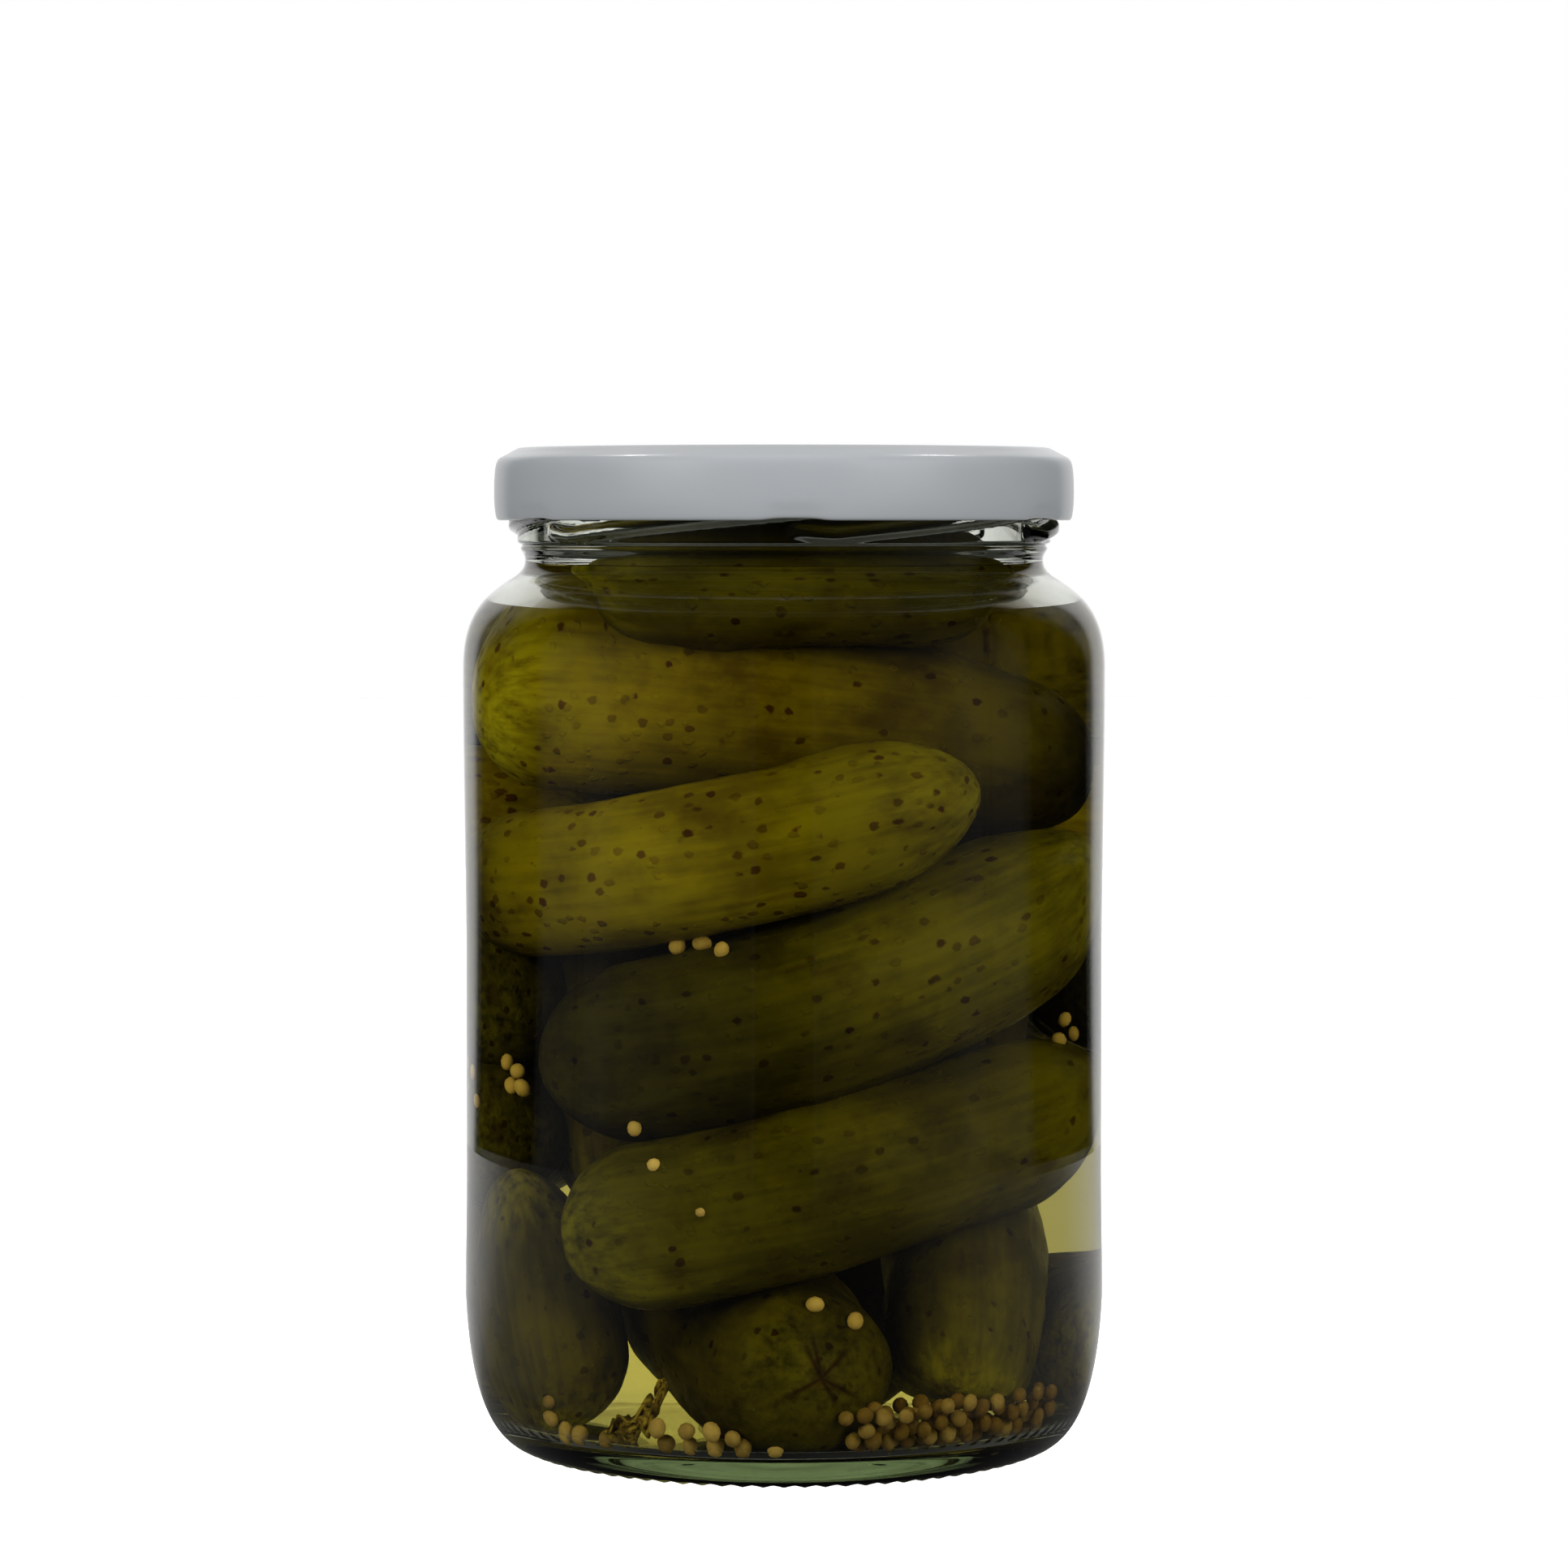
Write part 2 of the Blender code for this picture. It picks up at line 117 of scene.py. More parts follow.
def let_lamps_through(tree: NodeTree, surface: NodeSocket) -> NodeSocket:
    """Makes a clear surface pass light to what is behind it, in place of slow, grainy caustics.

    Args:
        tree: the material's node tree.
        surface: the shader that the eye sees.

    Returns:
        The mixed shader.
    """
    path = add_node(tree, "LightPath")
    rays = {0: path.outputs["Is Shadow Ray"], 1: path.outputs["Is Diffuse Ray"]}
    either = add_node(tree, "Math", {"operation": "MAXIMUM"}, rays)
    open_way = add_node(tree, "BsdfTransparent")
    mix = add_node(tree, "MixShader", links={0: either.outputs[0], 1: surface, 2: open_way.outputs[0]})
    return mix.outputs[0]


def bezier(curve: Curve, pieces: int) -> list[Point]:
    """Samples a cubic curve.

    Args:
        curve: its four points in millimetres.
        pieces: how many points to return.

    Returns:
        The points after the start, in metres.
    """
    start, pull_out, pull_in, end = (np.array(point) * MM for point in curve)
    share = np.linspace(0.0, 1.0, pieces + 1)[1:, None]
    back = 1.0 - share
    points = back**3 * start + 3 * back**2 * share * pull_out + 3 * back * share**2 * pull_in + share**3 * end
    return [(float(radius), float(height)) for radius, height in points]


def run(start: Point, end: Point, step: float) -> list[Point]:
    """Samples a straight stretch.

    Args:
        start: its start in millimetres, which is left out of the result.
        end: its end.
        step: the longest distance between points.

    Returns:
        The points after the start, in metres.
    """
    pieces = max(1, math.ceil(math.dist(start, end) / step))
    share = np.linspace(0.0, 1.0, pieces + 1)[1:, None]
    points = ((1.0 - share) * np.array(start) + share * np.array(end)) * MM
    return [(float(radius), float(height)) for radius, height in points]


def on_circle(azimuth: float, radius: float, height: float) -> Vector:
    """The point at an azimuth in degrees, a distance from the axis and a height."""
    angle = math.radians(azimuth)
    return Vector((radius * math.sin(angle), -radius * math.cos(angle), height))


def spun(profile: Sequence[Point], steps: int) -> BMesh:
    """Spins a profile of (radius, height) points once round Z.

    Args:
        profile: the outline.
        steps: how many sides the turned form has, a multiple of four.

    Returns:
        The closed form, with its faces pointing outwards.
    """
    form = bmesh.new()
    corners = [form.verts.new((radius, 0.0, height)) for radius, height in profile]
    edges = [form.edges.new(pair) for pair in zip(corners, corners[1:])]
    turn = {"cent": (0, 0, 0), "axis": (0, 0, 1), "angle": math.pi / 2, "steps": steps // 4}
    bmesh.ops.spin(form, geom=corners + edges, **turn)
    for axis in "XY":
        whole = form.verts[:] + form.edges[:] + form.faces[:]
        bmesh.ops.mirror(form, geom=whole, matrix=Matrix(), merge_dist=-1, axis=axis)
    bmesh.ops.remove_doubles(form, verts=form.verts, dist=1e-6)
    bmesh.ops.recalc_face_normals(form, faces=form.faces)
    return form


@cache
def ball(sides: int, rings: int) -> Mesh:
    """A unit ball to shape pieces from, made once for each fineness.

    Args:
        sides: how many sides it has round its axis.
        rings: how many from pole to pole.

    Returns:
        The mesh.
    """
    form = bmesh.new()
    bmesh.ops.create_uvsphere(form, u_segments=sides, v_segments=rings, radius=1.0)
    mesh = bpy.data.meshes.new("ball")
    form.to_mesh(mesh)
    form.free()
    return mesh


def as_piece(form: BMesh, name: str, material: Material) -> Object:
    """Turns a form into a piece of the jar that rides on its one body.

    Args:
        form: the finished shape, which is freed.
        name: the piece's name.
        material: its finish.

    Returns:
        The new object.
    """
    mesh = bpy.data.meshes.new(name)
    form.to_mesh(mesh)
    form.free()
    mesh.shade_smooth()
    mesh.materials.append(material)
    piece = bpy.data.objects.new(name, mesh)
    bpy.context.scene.collection.objects.link(piece)
    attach(piece, "root")
    return piece


def places_of(mesh: Mesh) -> np.ndarray:
    """Reads where a mesh's corners are.

    Args:
        mesh: the mesh.

    Returns:
        Rows of x, y and z.
    """
    flat = np.empty(len(mesh.vertices) * 3)
    mesh.vertices.foreach_get("co", flat)
    return flat.reshape(-1, 3)


def store(mesh: Mesh, name: str, values: np.ndarray) -> None:
    """Keeps a number or a vector for each corner of a mesh, for its material to read.

    Args:
        mesh: the mesh.
        name: the attribute's name.
        values: one number, or one row of three, for each corner.
    """
    vector = values.ndim == 2
    layer = mesh.attributes.new(name, "FLOAT_VECTOR" if vector else "FLOAT", "POINT")
    layer.data.foreach_set("vector" if vector else "value", np.ascontiguousarray(values, np.float32).ravel())


def waves(places: np.ndarray, length: float, draw: np.random.Generator, count: int = 14) -> np.ndarray:
    """A smooth random field: the mean of plane waves in random directions.

    Args:
        places: rows of x, y and z.
        length: the typical distance from crest to crest.
        draw: the seeded source of the directions.
        count: how many waves.

    Returns:
        One value for each row, mostly between -1 and 1.
    """
    directions = draw.normal(size=(count, 3))
    directions /= np.linalg.norm(directions, axis=1)[:, None]
    turns = places @ (directions * (2 * math.pi / length) * draw.uniform(0.6, 1.5, (count, 1))).T
    return np.sin(turns + draw.uniform(0, 2 * math.pi, count)).sum(axis=1) * math.sqrt(2.0 / count)


# --- Finishes ---
@dataclass(frozen=True)
class JarGlass:
    """Flint soda-lime container glass, blown in a mould and fire-polished.

    To the eye it is colourless where it is thin, and green in its thick base and edges.
    """

    ior: float = 1.52
    wave_mm: float = 26.0  # the slow swell that moulding leaves in the wall
    swell: float = 0.006
    tint: str = "aabe7c"
    tint_density: float = 35.0

    def material(self) -> Material:
        """Builds the glass.

        Returns:
            The material.
        """
        material, tree, output = new_material("flint_glass_moulded")
        place = add_node(tree, "TexCoord").outputs["Object"]
        wide = {"Scale": 1.0 / (self.wave_mm * MM), "Detail": 1.0}
        swell = add_node(tree, "TexNoise", wide, {"Vector": place})
        low = {"Strength": self.swell, "Distance": 1.0 * MM}
        bump = add_node(tree, "Bump", low, {"Height": swell.outputs[0]})
        clear = {"Base Color": (1, 1, 1, 1), "Roughness": 0.0, "IOR": self.ior, "Transmission Weight": 1.0}
        glass = add_node(tree, "BsdfPrincipled", clear, {"Normal": bump.outputs[0]})
        tint = add_node(tree, "VolumeAbsorption", {"Color": linear(self.tint), "Density": self.tint_density})
        tree.links.new(let_lamps_through(tree, glass.outputs[0]), output.inputs["Surface"])
        tree.links.new(tint.outputs[0], output.inputs["Volume"])
        return material


@dataclass(frozen=True)
class PickleBrine:
    """Vinegar brine, strained clear.

    To the eye it is pale yellow in a thin layer and deeper through the whole jar.
    """

    ior: float = 1.34
    density: float = 30.0
    left: tuple[float, float, float] = (0.79, 0.72, 0.04)  # 1 less each colour's share of the density

    def material(self) -> Material:
        """Builds the brine.

        Returns:
            The material.
        """
        material, tree, output = new_material("pickling_brine_clear")
        clear = {"Base Color": (1, 1, 1, 1), "Roughness": 0.0, "IOR": self.ior, "Transmission Weight": 1.0}
        brine = add_node(tree, "BsdfPrincipled", clear)
        depth = add_node(tree, "VolumeAbsorption", {"Color": (*self.left, 1.0), "Density": self.density})
        tree.links.new(let_lamps_through(tree, brine.outputs[0]), output.inputs["Surface"])
        tree.links.new(depth.outputs[0], output.inputs["Volume"])
        return material


@dataclass(frozen=True)
class LidEnamel:
    """Light grey stoved enamel on tinplate, rolled on flat before pressing.

    To the eye it is semi-gloss, with a fine orange peel and hardly any clouding.
    """

    colour: str = "a9adb0"
    shade: str = "a3a7ab"
    cloud_mm: float = 18.0
    peel_mm: float = 0.9  # real peel is half as wide: drawn coarser, so that it shows

    def material(self) -> Material:
        """Builds the enamel.

        Returns:
            The material.
        """
        material, tree, output = new_material("tinplate_enamel_stoved")
        place = add_node(tree, "TexCoord").outputs["Object"]
        wide = {"Scale": 1.0 / (self.cloud_mm * MM), "Detail": 3.0}
        cloud = add_node(tree, "TexNoise", wide, {"Vector": place})
        greys = {"data_type": "RGBA", 6: linear(self.colour), 7: linear(self.shade)}
        tone = add_node(tree, "Mix", greys, {0: cloud.outputs[0]})
        fine = {"Scale": 1.0 / (self.peel_mm * MM), "Detail": 2.0}
        peel = add_node(tree, "TexNoise", fine, {"Vector": place})
        bump = add_node(tree, "Bump", {"Strength": 0.06, "Distance": 0.05 * MM}, {"Height": peel.outputs[0]})
        rough = add_node(tree, "MapRange", {"To Min": 0.26, "To Max": 0.36}, {"Value": cloud.outputs[0]})
        enamel = add_node(
            tree,
            "BsdfPrincipled",
            {"IOR": 1.5, "Coat Weight": 0.25, "Coat Roughness": 0.12},
            {"Base Color": tone.outputs[2], "Roughness": rough.outputs[0], "Normal": bump.outputs[0]},
        )
        tree.links.new(enamel.outputs[0], output.inputs["Surface"])
        return material


class Tone(Enum):
    """How dark a gherkin's skin is drawn: (darker green, lighter green)."""

    BRIGHT = ("554700", "7b6c00")
    OLIVE = ("332d00", "4c4400")
    DEEP = ("231e00", "3a3200")


@dataclass(frozen=True)
class GherkinSkin:
    """Pickled gherkin skin, wet.

    To the eye it is mottled olive green, streaked along its length and dotted with brown warts.
    """

    tone: Tone
    faded: str = "968c0c"  # of a pale tip
    stain: str = "a8906a"  # each of these two is laid over the green
    wart: str = "96684e"
    wart_gap_mm: float = 2.3
    wart_mm: float = 0.62  # radius
    ragged_mm: float = 1.1  # of the unevenness of a wart's edge
    mottle_mm: float = 13.0
    streak_mm: float = 1.6  # across
    streak_draw: float = 0.09  # how much finer a streak's pattern is across than along
    bruise_mm: float = 8.0

    def material(self) -> Material:
        """Builds the skin. Its patterns follow "skin", the place on the gherkin as if it were straight.

        Returns:
            The material.
        """
        material, tree, output = new_material("gherkin_skin_" + self.tone.name.lower())
        skin = add_node(tree, "Attribute", {"attribute_name": "skin"}).outputs["Vector"]
        patches = {"Scale": 1.0 / (self.mottle_mm * MM), "Detail": 4.0, "Roughness": 0.6}
        mottle = add_node(tree, "TexNoise", patches, {"Vector": skin}).outputs[0]
        drawn = add_node(tree, "Mapping", {"Scale": (1.0, 1.0, self.streak_draw)}, {"Vector": skin})
        lines = {"Scale": 1.0 / (self.streak_mm * MM), "Detail": 3.0, "Roughness": 0.6}
        streak = add_node(tree, "TexNoise", lines, {"Vector": drawn.outputs[0]}).outputs[0]
        spot, strength = self.warts(tree, skin)
        colour = self.green(tree, mottle, streak)
        colour = self.bruised(tree, skin, colour)
        colour = self.marked(tree, spot, strength, colour)
        relief = add_node(tree, "Math", {"operation": "MULTIPLY_ADD", 1: 0.35}, {0: streak, 2: spot})
        bump = add_node(tree, "Bump", {"Strength": 0.5, "Distance": 0.3 * MM}, {"Height": relief.outputs[0]})
        wet = {"Roughness": 0.42, "IOR": 1.4, "Specular IOR Level": 0.06}
        shader = add_node(tree, "BsdfPrincipled", wet, {"Base Color": colour, "Normal": bump.outputs[0]})
        tree.links.new(shader.outputs[0], output.inputs["Surface"])
        return material

    def green(self, tree: NodeTree, mottle: NodeSocket, streak: NodeSocket) -> NodeSocket:
        """The ground colour: darker and lighter green in patches and streaks, faded towards a pale tip and
        scaled by painted light and shade.

        Args:
            tree: the material's nodes.
            mottle: the patches.
            streak: the streaks.

        Returns:
            The colour.
        """
        dark, lit = self.tone.value
        pale = add_node(tree, "Attribute", {"attribute_name": "pale"}).outputs["Fac"]
        shade = add_node(tree, "Attribute", {"attribute_name": "shade"}).outputs["Fac"]
        both = add_node(tree, "Math", {"operation": "MULTIPLY_ADD", 1: 0.45}, {0: streak, 2: mottle})
        soft = {"From Min": 0.52, "From Max": 0.92, "interpolation_type": "SMOOTHSTEP"}
        depth = add_node(tree, "MapRange", soft, {0: both.outputs[0]})
        greens = {"data_type": "RGBA", 6: linear(dark), 7: linear(lit)}
        ground = add_node(tree, "Mix", greens, {0: depth.outputs[0]})
        rays = add_node(tree, "MapRange", {"From Min": 0.3, "From Max": 0.62}, {0: streak})
        share = add_node(tree, "Math", {"operation": "MULTIPLY"}, {0: pale, 1: rays.outputs[0]})
        tip = {"data_type": "RGBA", 7: linear(self.faded)}
        fade = add_node(tree, "Mix", tip, {0: share.outputs[0], 6: ground.outputs[2]})
        # painted light and shade: "shade" holds the lid's painted shadow and the light and shade painted
        # along each gherkin, and scales the colour
        shaded = add_node(tree, "VectorMath", {"operation": "SCALE"}, {0: fade.outputs[2], "Scale": shade})
        return shaded.outputs[0]

    def bruised(self, tree: NodeTree, skin: NodeSocket, ground: NodeSocket) -> NodeSocket:
        """Brownish stains in a few places of the skin.

        Args:
            tree: the material's nodes.
            skin: where on the skin.
            ground: the colour under them.

        Returns:
            The stained colour.
        """
        patches = {"Scale": 1.0 / (self.bruise_mm * MM), "Detail": 5.0, "Roughness": 0.6}
        stain = add_node(tree, "TexNoise", patches, {"Vector": skin})
        few = {"From Min": 0.53, "From Max": 0.68, "To Max": 0.55}
        share = add_node(tree, "MapRange", few, {0: stain.outputs[0]})
        over = {"data_type": "RGBA", "blend_type": "MULTIPLY", 7: linear(self.stain)}
        return add_node(tree, "Mix", over, {0: share.outputs[0], 6: ground}).outputs[2]

    def warts(self, tree: NodeTree, skin: NodeSocket) -> tuple[NodeSocket, NodeSocket]:
        """The warts: uneven oval spots, a part of them brown.

        Args:
            tree: the material's nodes.
            skin: where on the skin.

        Returns:
            How far a point is inside a spot, and how brown that spot is.
        """
        fine = {"Scale": 1.0 / (self.ragged_mm * MM), "Detail": 2.0}
        ragged = add_node(tree, "TexNoise", fine, {"Vector": skin}).outputs["Color"]
        shift = {"operation": "MULTIPLY_ADD", 1: (0.9 * MM,) * 3}
        bent = add_node(tree, "VectorMath", shift, {0: ragged, 2: skin})
        spread = {"Scale": 1.0 / (self.wart_gap_mm * MM), "Randomness": 1.0}
        cells = add_node(tree, "TexVoronoi", spread, {"Vector": bent.outputs[0]})
        size = self.wart_mm / self.wart_gap_mm
        edge = {"From Min": size * 1.2, "From Max": size * 0.75, "interpolation_type": "SMOOTHSTEP"}
        spot = add_node(tree, "MapRange", edge, {0: cells.outputs["Distance"]})
        chance = add_node(tree, "SeparateColor", links={0: cells.outputs["Color"]})
        warty = add_node(tree, "Attribute", {"attribute_name": "warty"}).outputs["Fac"]
        brown = add_node(tree, "Math", {"operation": "LESS_THAN"}, {0: chance.outputs[0], 1: warty})
        depth = add_node(tree, "MapRange", {"To Min": 0.25}, {0: chance.outputs[1]})
        both = {0: brown.outputs[0], 1: depth.outputs[0]}
        return spot.outputs[0], add_node(tree, "Math", {"operation": "MULTIPLY"}, both).outputs[0]

    def marked(
        self, tree: NodeTree, spot: NodeSocket, strength: NodeSocket, ground: NodeSocket
    ) -> NodeSocket:
        """Browns the warts and the scars on the tips.

        Args:
            tree: the material's nodes.
            spot: how far a point is inside a wart.
            strength: how brown that wart is.
            ground: the colour round them.

        Returns:
            The skin's colour.
        """
        scar = add_node(tree, "Attribute", {"attribute_name": "scar"}).outputs["Fac"]
        dot = add_node(tree, "Math", {"operation": "MULTIPLY"}, {0: spot, 1: strength})
        mark = add_node(tree, "Math", {"operation": "MAXIMUM"}, {0: dot.outputs[0], 1: scar})
        over = {"data_type": "RGBA", "blend_type": "MULTIPLY", 7: linear(self.wart)}
        return add_node(tree, "Mix", over, {0: mark.outputs[0], 6: ground}).outputs[2]


@dataclass(frozen=True)
class MustardSeedCoat:
    """Yellow mustard seed, soaked.

    To the eye it is a dull, finely pitted straw colour that varies from seed to seed.
    """

    pale: str = "bd9d4c"
    deep: str = "5c4412"
    cloud_mm: float = 1.4
    pit_mm: float = 0.35  # real pits are a third of this: drawn coarser, so that they show

    def material(self) -> Material:
        """Builds the seed coat.

        Returns:
            The material.
        """
        material, tree, output = new_material("mustard_seed_coat")
        place = add_node(tree, "TexCoord").outputs["Object"]
        # each seed's tone: its painted shade on the floor plus a random share of its own, leaning it towards
        # the deep colour
        own = add_node(tree, "Attribute", {"attribute_name": "tone"}).outputs["Fac"]
        wide = {"Scale": 1.0 / (self.cloud_mm * MM), "Detail": 2.0}
        cloud = add_node(tree, "TexNoise", wide, {"Vector": place})
        share = add_node(tree, "Math", {"operation": "MULTIPLY_ADD", 1: 0.4}, {0: cloud.outputs[0], 2: own})
        straws = {"data_type": "RGBA", 6: linear(self.pale), 7: linear(self.deep)}
        colour = add_node(tree, "Mix", straws, {0: share.outputs[0]}).outputs[2]
        fine = {"Scale": 1.0 / (self.pit_mm * MM), "Detail": 2.0}
        pits = add_node(tree, "TexNoise", fine, {"Vector": place})
        bump = add_node(tree, "Bump", {"Strength": 0.3, "Distance": 0.08 * MM}, {"Height": pits.outputs[0]})
        dull = {"Roughness": 0.5, "IOR": 1.4, "Specular IOR Level": 0.15}
        coat = add_node(tree, "BsdfPrincipled", dull, {"Base Color": colour, "Normal": bump.outputs[0]})
        tree.links.new(coat.outputs[0], output.inputs["Surface"])
        return material


@dataclass(frozen=True)
class SoakedDill:
    """Dill leaf, soaked for months.

    To the eye it is yellow-brown, with darker veins and a wet look.
    """

    body: str = "8a7420"
    vein: str = "4c3a10"
    vein_mm: float = 1.8

    def material(self) -> Material:
        """Builds the scrap's finish.

        Returns:
            The material.
        """
        material, tree, output = new_material("dill_scrap_soaked")
        place = add_node(tree, "TexCoord").outputs["Object"]
        wavy = {"Scale": 1.0 / (self.vein_mm * MM), "Detail": 4.0, "Distortion": 1.5}
        veins = add_node(tree, "TexNoise", wavy, {"Vector": place})
        share = add_node(tree, "MapRange", {"From Min": 0.42, "From Max": 0.62}, {0: veins.outputs[0]})
        browns = {"data_type": "RGBA", 6: linear(self.body), 7: linear(self.vein)}
        colour = add_node(tree, "Mix", browns, {0: share.outputs[0]}).outputs[2]
        bump = add_node(tree, "Bump", {"Strength": 0.4, "Distance": 0.1 * MM}, {"Height": veins.outputs[0]})
        wet = {"Roughness": 0.5, "IOR": 1.4, "Specular IOR Level": 0.1}
        leaf = add_node(tree, "BsdfPrincipled", wet, {"Base Color": colour, "Normal": bump.outputs[0]})
        tree.links.new(leaf.outputs[0], output.inputs["Surface"])
        return material


# --- The glass, its lid and the brine ---
FLOOR: Curve = ((0, 7.2), (14, 7.2), (24, 5.2), (35, 5.2))
CORNER: Curve = ((35, 5.2), (42, 5.0), (44.6, 11), (44.75, 24))
INNER_SHOULDER: Curve = ((44.75, 114), (44.75, 120.4), (41.9, 122.8), (38.6, 124.9))
THROAT: Curve = ((38.6, 124.9), (36, 126.6), (35.4, 128), (35.4, 130))
RIM: tuple[tuple[Curve, int], ...] = (
    (((35.4, 144.4), (35.4, 145.4), (35.7, 146), (36.4, 146)), 5),
    (((36.4, 146), (37.6, 146), (38.4, 145.2), (39.2, 142)), 9),
)
OUTSIDE: tuple[tuple[Curve, int], ...] = (
    (((39.2, 133.1), (39.15, 132.75), (38.6, 132.8), (38.55, 132.55)), 4),  # under the thread
    (((38.55, 132.55), (38.5, 132.3), (38.75, 132.35), (38.75, 132.1)), 3),  # bead
    (((38.75, 132.1), (38.6, 131.5), (38.1, 131.3), (38.1, 130.4)), 6),  # neck
    (((38.1, 130.4), (38.1, 129.1), (38.9, 128.3), (40.5, 127.4)), 8),  # fillet
    (((40.5, 127.4), (43.9, 125.2), (47.25, 122.5), (47.25, 114.5)), 18),  # shoulder
    (((47.25, 114.5), (47.25, 98), (46.95, 90), (46.95, 73)), 8),  # the wall draws in to its panel
    (((46.95, 73), (46.95, 62), (46.95, 52), (46.95, 41)), 4),
    (((46.95, 41), (46.95, 34), (47.15, 30), (47.15, 22)), 4),
    (((47.15, 22), (46.6, 8), (43.4, 0.3), (38.5, 0)), 18),  # heel
    (((38.5, 0), (37.5, 0), (36.5, 0), (35.5, 0)), 5),  # ring that the jar stands on
    (((35.5, 0), (34.6, 0.1), (34.5, 1.4), (33.6, 1.6)), 5),  # step
    (((33.6, 1.6), (26, 2.2), (14, 4), (0, 4)), 6),  # dome
)


@dataclass(frozen=True)
class GlassJar:
    """The glass: one closed wall from the cavity's floor over the mouth to the underside."""

    steps: int = 336  # four for each knurl
    knurls: int = 84
    knurl_depth: float = 0.5 * MM
    starts: int = 6
    thread_first: float = -58.7  # azimuth of the first start
    thread_span: float = 70.0
    thread_dip: float = 9.0
    thread_low: float = 134.05 * MM
    thread_climb: float = 0.068 * MM  # for each degree
    thread_runout: float = 6.0
    thread_proud: float = 1.3 * MM
    thread_half: float = 1.15 * MM
    mouth_radius: float = 38.0 * MM  # the thread lies outside this, between these heights
    mouth_heights: Point = (132.5 * MM, 143.5 * MM)
    ring_inside: float = 34.9 * MM  # of the ring that the jar stands on, which the knurls cut
    ring_middle: float = 37.6 * MM
    ring_half: float = 3.2 * MM
    ring_height: float = 1.2 * MM

    def cavity(self, fine: int = 1) -> list[Point]:
        """The inner surface, from the middle of the floor up to the bore.

        Args:
            fine: how many times finer than the fewest points that give the shape.

        Returns:
            Points of (radius, height).
        """
        points = [(0.0, FLOOR[0][1] * MM)] + bezier(FLOOR, 4 * fine) + bezier(CORNER, 7 * fine)
        points += run(CORNER[3], INNER_SHOULDER[0], 30 / fine)
        return points + bezier(INNER_SHOULDER, 5 * fine) + bezier(THROAT, 4 * fine)

    def profile(self) -> list[Point]:
        """The whole outline of the wall, from the floor's middle over the mouth to the underside's middle.

        Returns:
            Points of (radius, height).
        """
        points = self.cavity(2) + run(THROAT[3], RIM[0][0][0], 4)
        for curve, pieces in RIM:
            points += bezier(curve, pieces)
        points += run(RIM[-1][0][3], OUTSIDE[0][0][0], 0.25)
        for curve, pieces in OUTSIDE:
            points += bezier(curve, pieces)
        return points

    def thread_relief(self, azimuth: float, height: float) -> float:
        """How far a thread ramp stands out of the mouth.

        Args:
            azimuth: in degrees.
            height: above the table.

        Returns:
            The relief in metres, 0 off the ramps.
        """
        relief = 0.0
        for number in range(self.starts):
            turn = (azimuth - self.thread_first - number * 360.0 / self.starts) % 360.0
            if turn > self.thread_span:
                continue
            middle = self.thread_low + self.thread_climb * abs(turn - self.thread_dip)
            across = abs(height - middle) / self.thread_half
            if across < 1.0:
                ends = min(turn / self.thread_dip, (self.thread_span - turn) / self.thread_runout, 1.0)
                body = 1.0 - max(0.0, (across - 0.25) / 0.75) ** 2
                relief = max(relief, self.thread_proud * body * math.sqrt(max(ends, 0.0)))
        return relief

    def build(self, finish: JarGlass) -> Object:
        """Models the jar and stands it in for its node.

        Args:
            finish: the glass.

        Returns:
            The piece.
        """
        form = spun(self.profile(), self.steps)
        low, high = self.mouth_heights
        for corner in form.verts:
            x, y, height = corner.co
            radius = math.hypot(x, y)
            azimuth = math.degrees(math.atan2(x, -y))
            if radius > self.mouth_radius and low < height < high:
                out = 1.0 + self.thread_relief(azimuth, height) / radius
                corner.co = (x * out, y * out, height)
            elif height < self.ring_height and radius > self.ring_inside:
                over_ring = max(0.0, 1.0 - ((radius - self.ring_middle) / self.ring_half) ** 2)
                notch = 0.5 - 0.5 * math.cos(math.radians(azimuth) * self.knurls)
                corner.co.z = height + self.knurl_depth * notch * over_ring
        jar = as_piece(form, "glass_jar_blown", finish.material())
        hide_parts("glass_jar")
        return jar


LID_OUTSIDE: tuple[tuple[Curve, int], ...] = (
    (((0, 146.3), (6, 146.3), (12, 146.3), (19, 146.3)), 4),  # button
    (((19, 146.3), (19.6, 146.3), (19.6, 146.55), (20.2, 146.55)), 4),  # bead round the button
    (((20.2, 146.55), (20.9, 146.55), (20.8, 146.1), (21.5, 146.1)), 4),
    (((21.5, 146.1), (25, 146.1), (29, 146.1), (33, 146.1)), 4),  # panel
    (((33, 146.1), (33.9, 146.1), (33.9, 146.8), (34.8, 146.8)), 5),  # rise to the rim
    (((34.8, 146.8), (36, 146.8), (37.4, 146.8), (38.6, 146.8)), 3),  # rim
    (((38.6, 146.8), (39.2, 146.8), (39.6, 146.4), (40.4, 146.0)), 5),  # chamfer
    (((40.4, 146.0), (40.8, 145.8), (41.2, 145.6), (41.6, 145.4)), 2),
    (((41.6, 145.4), (42.2, 145.05), (42.4, 144.4), (42.5, 143)), 6),  # corner
    (((42.5, 143), (42.6, 142), (42.6, 141), (42.6, 140.1)), 3),  # skirt
    (((42.6, 140.1), (42.6, 138.9), (42.55, 138), (42.4, 137.1)), 5),
    (((42.4, 137.1), (42.3, 136.5), (42.2, 136.2), (41.75, 136.2)), 6),  # curl
    (((41.75, 136.2), (41.3, 136.2), (41.05, 136.4), (41.05, 136.8)), 4),
    (((41.05, 136.8), (41.05, 137.5), (41.5, 137.6), (41.7, 138)), 4),  # tuck
    (((41.7, 138), (41.9, 138.5), (42.05, 139.5), (42.05, 140.5)), 2),  # inside of the skirt
    (((42.05, 140.5), (42.05, 143.5), (41.9, 144.9), (40.1, 145.5)), 5),
    (((40.1, 145.5), (39.2, 146), (38.9, 146.3), (38.3, 146.3)), 4),
)
